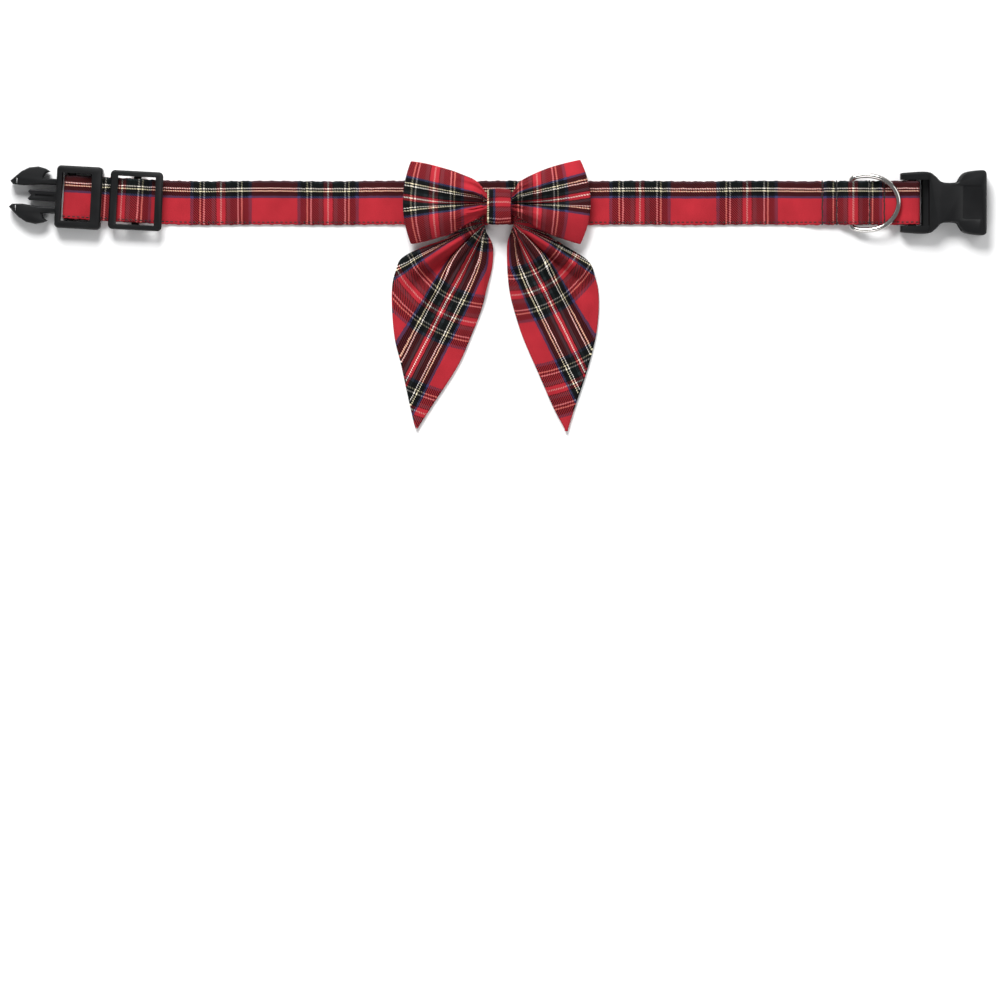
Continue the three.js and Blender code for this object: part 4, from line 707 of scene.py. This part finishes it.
def strap_spots(arc_at, y, face):
    """Places on the strap's cloth at lengths along its path, with its direction and its outward normal."""
    x = np.interp(arc_at, strap_arc, strap_path[:, 0])
    z = np.interp(arc_at, strap_arc, strap_path[:, 1])
    way = np.stack([np.interp(arc_at, strap_arc, np.gradient(strap_path[:, k])) for k in (0, 1)], -1)
    along = unit(np.stack([way[:, 0], 0 * x, way[:, 1]], -1))
    normal = face * np.stack([along[:, 2], 0 * x, -along[:, 0]], -1)
    spot = np.stack([x, y + 0 * x, z], -1)
    high = STRAP_CLOTH / 2 - 0.1
    placed, tip = lay_along(spot + normal * high), lay_along(spot + normal * high + along)
    return placed, unit(tip - placed), normal


def arc_of(x, layer):
    """The length along the path where the strap passes x, in the given run of the path."""
    low, high = np.searchsorted(strap_arc, layer)
    order = np.argsort(strap_path[low:high, 0])
    return np.interp(x, strap_path[low:high, 0][order], strap_arc[low:high][order])


FIRST_FLAP, MAIN_RUN, LAST_FLAP = (0.0, 56.0), (66.0, 480.0), (strap_arc[-1] - 24.0, strap_arc[-1])
main_turn = strap_arc[-1] - 30.0
rows = [
    strap_spots(np.arange(1.5, main_turn, STITCH_STEP), SEAM_Y, 1),
    strap_spots(np.arange(arc_of(170, MAIN_RUN), arc_of(-187, MAIN_RUN), STITCH_STEP), SEAM_Y, -1),
    strap_spots(np.arange(LAST_FLAP[0], LAST_FLAP[1] - 1, STITCH_STEP), SEAM_Y, -1),
]
straight = sum(len(spots) for spots, way, outward in rows)
for seam_x in CROSS_SEAMS:
    for layer in (FIRST_FLAP, MAIN_RUN):
        y = np.arange(-STRAP_WIDTH / 2 + 1.1, STRAP_WIDTH / 2 - 0.7, SEAM_STEP)
        spots, way, outward = strap_spots(np.full(len(y), arc_of(seam_x, layer)), y, 1)
        spots = spots + SEAM_WANDER * np.sin(y * 2.1 + seam_x)[:, None] * way - SEAM_SUNK * outward
        lean = SEAM_WANDER * np.cos(y * 1.7)[:, None] * way
        rows.append((spots, unit(np.array([0.0, 1.0, 0.0]) + lean), outward))
centres, along, outward = (np.concatenate(parts) for parts in zip(*rows))
size = np.where(np.arange(len(centres)) < straight, 1.0, SEAM_STITCH)
strap_stitches = dashes("strap_stitches", centres, along, outward, size, black_thread)

# %% [markdown]
# ## Elastic loops
# Two short white elastics are sewn behind the wings and pass under the strap, so the bow slides on or off.
# Woven elastic has rubber cords along its length, which show as low ribs.

# %% Elastics
ELASTIC_WIDTH, ELASTIC_THICK, ELASTIC_TOP, ELASTIC_BOTTOM, DROP, RIBS = 11.0, 1.2, 19.0, 18.3, 1.6, 6
ELASTIC_LEFT_X, ELASTIC_RIGHT_X = -35.6, 37.6


def elastic(name, place):
    """A ribbed band along a rounded path in the YZ plane, its ends raised to meet the wing's back."""
    low, bend = ELASTIC_THICK / 2, STRAP_WIDTH / 2 + GAP + ELASTIC_THICK
    high = BOW_REST - GAP - low
    corners = np.array([(ELASTIC_TOP, high), (bend + DROP, high), (bend, low), (-bend, low),
                        (-bend - DROP, high), (-ELASTIC_BOTTOM, high)])
    path, arc = resampled(rounded(corners, FOLD_RADIUS), 0.5)
    across = np.linspace(-1, 1, 73)[None, :]
    x = place + across * (ELASTIC_WIDTH - ELASTIC_THICK) / 2
    y, run = path[:, :1], arc[:, None]
    z = path[:, 1:] + smoothstep(np.abs(y), bend, bend + DROP) * back_lift(x)
    rib = np.abs(np.cos(np.pi * RIBS / 2 * across))
    thick = ELASTIC_THICK * (0.7 + 0.26 * rib + 0.04 * np.cos(2 * np.pi * run / 1.1)) + 0 * z
    face = np.stack(np.broadcast_arrays(x, y, z), -1)
    uv = np.stack(np.broadcast_arrays(run, x), -1)
    return skin(name, face, thick, uv)


elastic_left = elastic("elastic_left_band", ELASTIC_LEFT_X)
elastic_right = elastic("elastic_right_band", ELASTIC_RIGHT_X)


def woven_elastic():
    """White ribbed elastic: pale polyester yarn over rubber, with small cross wraps and a dull surface."""
    made, tree = material("white ribbed elastic, woven")
    uv = add(tree, "UVMap", uv_map="cloth").outputs[0]
    parts = add(tree, "SeparateXYZ", {0: uv})
    wraps = add(tree, "Math", {0: parts.outputs[0], 1: 0.55}, operation="PINGPONG").outputs[0]
    tone = add(tree, "TexNoise", {"Vector": uv, "Scale": 1.6, "Detail": 3.0}).outputs[0]
    mixed = add(tree, "Math", {0: wraps, 1: tone}, operation="MULTIPLY").outputs[0]
    colour = add(tree, "Mix", {0: mixed, 6: linear("#DAD7D0"), 7: linear("#F6F4EF")},
                 data_type="RGBA").outputs[2]
    bump = add(tree, "Bump", {"Strength": 0.5, "Distance": 0.0002, "Height": wraps}).outputs[0]
    shader = add(tree, "BsdfPrincipled", {"Base Color": colour, "Roughness": 0.8, "Normal": bump})
    finish_material(tree, shader)
    return made


elastic_cloth = woven_elastic()

# %% [markdown]
# ## Buckle and slider
# The side-release buckle and the slider are moulded in black plastic. Their measured solids already have the
# right form, so each is copied, its corners are merged and its edges get the small round a mould leaves.

# %% Moulded parts
EDGE_ROUND = 0.35


def moulded(node, name):
    """A copy of a CAD node's mesh with merged points and rounded edges."""
    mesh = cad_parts[node].data.copy()
    mesh.name = name
    made = bpy.data.objects.new(name, mesh)
    bpy.context.scene.collection.objects.link(made)
    work = bmesh.new()
    work.from_mesh(mesh)
    bmesh.ops.remove_doubles(work, verts=work.verts, dist=2e-6)
    bmesh.ops.dissolve_limit(work, angle_limit=math.radians(1), verts=work.verts, edges=work.edges)
    work.to_mesh(mesh)
    work.free()
    mesh.materials.clear()
    mesh.materials.append(plastic)
    bevel = made.modifiers.new("mould radius", "BEVEL")
    bevel.width, bevel.segments, bevel.limit_method = EDGE_ROUND * MM, 2, "ANGLE"
    bevel.angle_limit, bevel.harden_normals = math.radians(32), True
    mesh.polygons.foreach_set("use_smooth", np.ones(len(mesh.polygons), bool))
    print(f"{name}: {len(mesh.polygons)} faces before its edges are rounded")
    return made


plug = moulded("plug", "plug_body")
slider = moulded("slider", "slider_body")
socket = moulded("socket", "socket_body")

# %% [markdown]
# ## Leash ring
# The ring is one length of steel wire bent to a D and closed, then plated. Its straight side lies in the sewn
# tunnel and its curve rests on the strap, so the whole ring tilts up a little towards the socket.

# %% Leash ring
RING_WIRE, RING_WIDTH, RING_REACH, RING_CORNER, CORNER_REACH = 3.0, 34.0, 28.5, 2.8, 7.0
RING_X, RING_Z, RING_TILT, RING_STRAIGHT = 200.6, 3.6, math.radians(11.2), 0.33


def ring_outline(points):
    """Half of the D, from the middle of its straight side: a line, a long round corner, a quarter ellipse."""
    half, reach = (RING_WIDTH - RING_WIRE) / 2, RING_REACH - RING_WIRE / 2
    bend = np.linspace(0, np.pi / 2, points)[:, None]
    middle = reach * RING_STRAIGHT
    corner = np.hstack([CORNER_REACH * (1 - np.cos(bend)), half - RING_CORNER * (1 - np.sin(bend))])
    curve = np.hstack([middle + (reach - middle) * np.sin(bend), half * np.cos(bend)])
    return np.concatenate([[[0, 0]], corner, curve])


def ring_mesh(name, sides=24):
    """A round wire swept along the closed outline, then tilted about its straight side."""
    upper = resampled(ring_outline(24), 0.6)[0]
    outline = np.concatenate([upper, (upper * [1, -1])[1:-1][::-1]])
    way = unit(slopes(outline, 0, True))
    side = np.stack([-way[:, 1], way[:, 0], 0 * way[:, 0]], -1)
    spin = np.linspace(0, 2 * np.pi, sides, endpoint=False)[None, :, None]
    flat = np.concatenate([outline, np.zeros((len(outline), 1))], 1)
    round_wire = np.cos(spin) * side[:, None] + np.sin(spin) * np.array([0, 0, 1.0])
    tube = flat[:, None] + RING_WIRE / 2 * round_wire
    c, s = math.cos(RING_TILT), math.sin(RING_TILT)
    turn = np.array([[c, 0, -s], [0, 1, 0], [s, 0, c]])
    points = (tube.reshape(-1, 3) @ turn.T) + [RING_X, 0, RING_Z]
    i, j = np.meshgrid(np.arange(len(outline)), np.arange(sides), indexing="ij")
    i2, j2 = (i + 1) % len(outline), (j + 1) % sides
    quads = np.stack([i * sides + j, i * sides + j2, i2 * sides + j2, i2 * sides + j], -1).reshape(-1, 4)
    a, b, c3 = (points[quads[:, n]] for n in (0, 1, 2))
    if (a * np.cross(b, c3)).sum() < 0:
        quads = quads[:, ::-1]
    made = put(name, points, [quads])
    made.data.materials.append(steel)
    print(f"{name}: wire {RING_WIRE} mm, {len(outline)} sections")
    return made


ring = ring_mesh("leash_ring_wire")

# %% [markdown]
# ## What stands for what
# Each finished piece takes the place of its measured solid in the picture and moves with the same body.

# %% Pieces and bodies
for piece in (bow_loops, bow_knot, tail_left, tail_right, strap):
    piece.data.materials.append(cloth_strap)
for piece in (elastic_left, elastic_right):
    piece.data.materials.append(elastic_cloth)
PARTS = (
    (strap, "strap", "plaid_cloth"), (bow_loops, "bow_loops", "plaid_cloth"),
    (bow_knot, "bow_knot", "plaid_cloth"),
    (tail_left, "tail_left", "plaid_cloth"), (tail_right, "tail_right", "plaid_cloth"),
    (elastic_left, "elastic_left", "white_elastic"), (elastic_right, "elastic_right", "white_elastic"),
    (plug, "plug", "black_plastic"), (slider, "slider", "black_plastic"), (socket, "socket", "black_plastic"),
    (ring, "d_ring", "ring_steel"),
)
for piece, node, slot_name in PARTS:
    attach(piece, "leash_ring" if node == "d_ring" else "collar")
    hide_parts(node)
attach(strap_stitches, "collar")
print("dressed nodes:", len(PARTS))

# %% [markdown]
# ## Table, light and camera
# The collar lies on a plain white table and is seen from straight above, with the table's lower half left
# empty. One large lamp beyond the strap's top edge shades the folds, and two weaker ones and the room fill
# the shadows. Nothing bright stands straight above, so the black plastic stays black.

# %% Table, light and camera
def white_table():
    """A pale painted table: nearly white, matt, with a faint unevenness."""
    made, tree = material("white matt paint")
    place = add(tree, "TexCoord").outputs["Object"]
    tone = add(tree, "TexNoise", {"Vector": place, "Scale": 6.0, "Detail": 2.0}).outputs[0]
    colour = add(tree, "Mix", {0: tone, 6: linear("#F4F4F4"), 7: linear("#F8F8F8")},
                 data_type="RGBA").outputs[2]
    shader = add(tree, "BsdfPrincipled", {"Base Color": colour, "Roughness": 0.9, "Specular IOR Level": 0.2})
    finish_material(tree, shader)
    return made


TABLE_HALF, TABLE_GAP, ROOM_LIGHT = 3.0, 0.15, 0.24
corners = np.array([(-1, -1, 0), (1, -1, 0), (1, 1, 0), (-1, 1, 0)]) * TABLE_HALF / MM
table = put("table_top", corners - [0, 0, TABLE_GAP], [np.array([[0, 1, 2, 3]])], smooth=False)
table.data.materials.append(white_table())

scene = bpy.context.scene
scene.view_settings.view_transform = "Standard"
world = bpy.data.worlds.new("studio")
world.use_nodes = True
scene.world = world
background = world.node_tree.nodes["Background"]
background.inputs["Color"].default_value = linear("#F7F8FA")
background.inputs["Strength"].default_value = ROOM_LIGHT


def lamp(name, power, size, place, aim):
    """A square area lamp at a place in metres, turned to its aim."""
    light = bpy.data.lights.new(name, "AREA")
    light.energy, light.size = power, size
    made = bpy.data.objects.new(name, light)
    made.location = place
    made.rotation_euler = (Vector(aim) - Vector(place)).to_track_quat("-Z", "Y").to_euler()
    scene.collection.objects.link(made)
    return made


lamp("key_lamp", 52.0, 0.9, (-0.35, 1.35, 1.15), (0, 0, 0))
lamp("right_lamp", 5.0, 0.9, (1.1, 0.5, 0.9), (0, 0, 0))
lamp("near_lamp", 7.0, 0.9, (-0.2, -1.1, 0.9), (0, 0, 0))

FRAME_WIDTH, LENS, SENSOR, VIEW_X, VIEW_SHIFT = 0.57, 170.0, 36.0, 0.00141, -0.2046
view = bpy.data.cameras.new("camera")
view.lens, view.sensor_width, view.clip_end = LENS, SENSOR, 20.0
view.shift_y = VIEW_SHIFT
camera = bpy.data.objects.new("camera", view)
camera.location = (VIEW_X, 0.0, FRAME_WIDTH * LENS / SENSOR)
scene.collection.objects.link(camera)
scene.camera = camera
print("camera's height, m:", round(camera.location.z, 3))
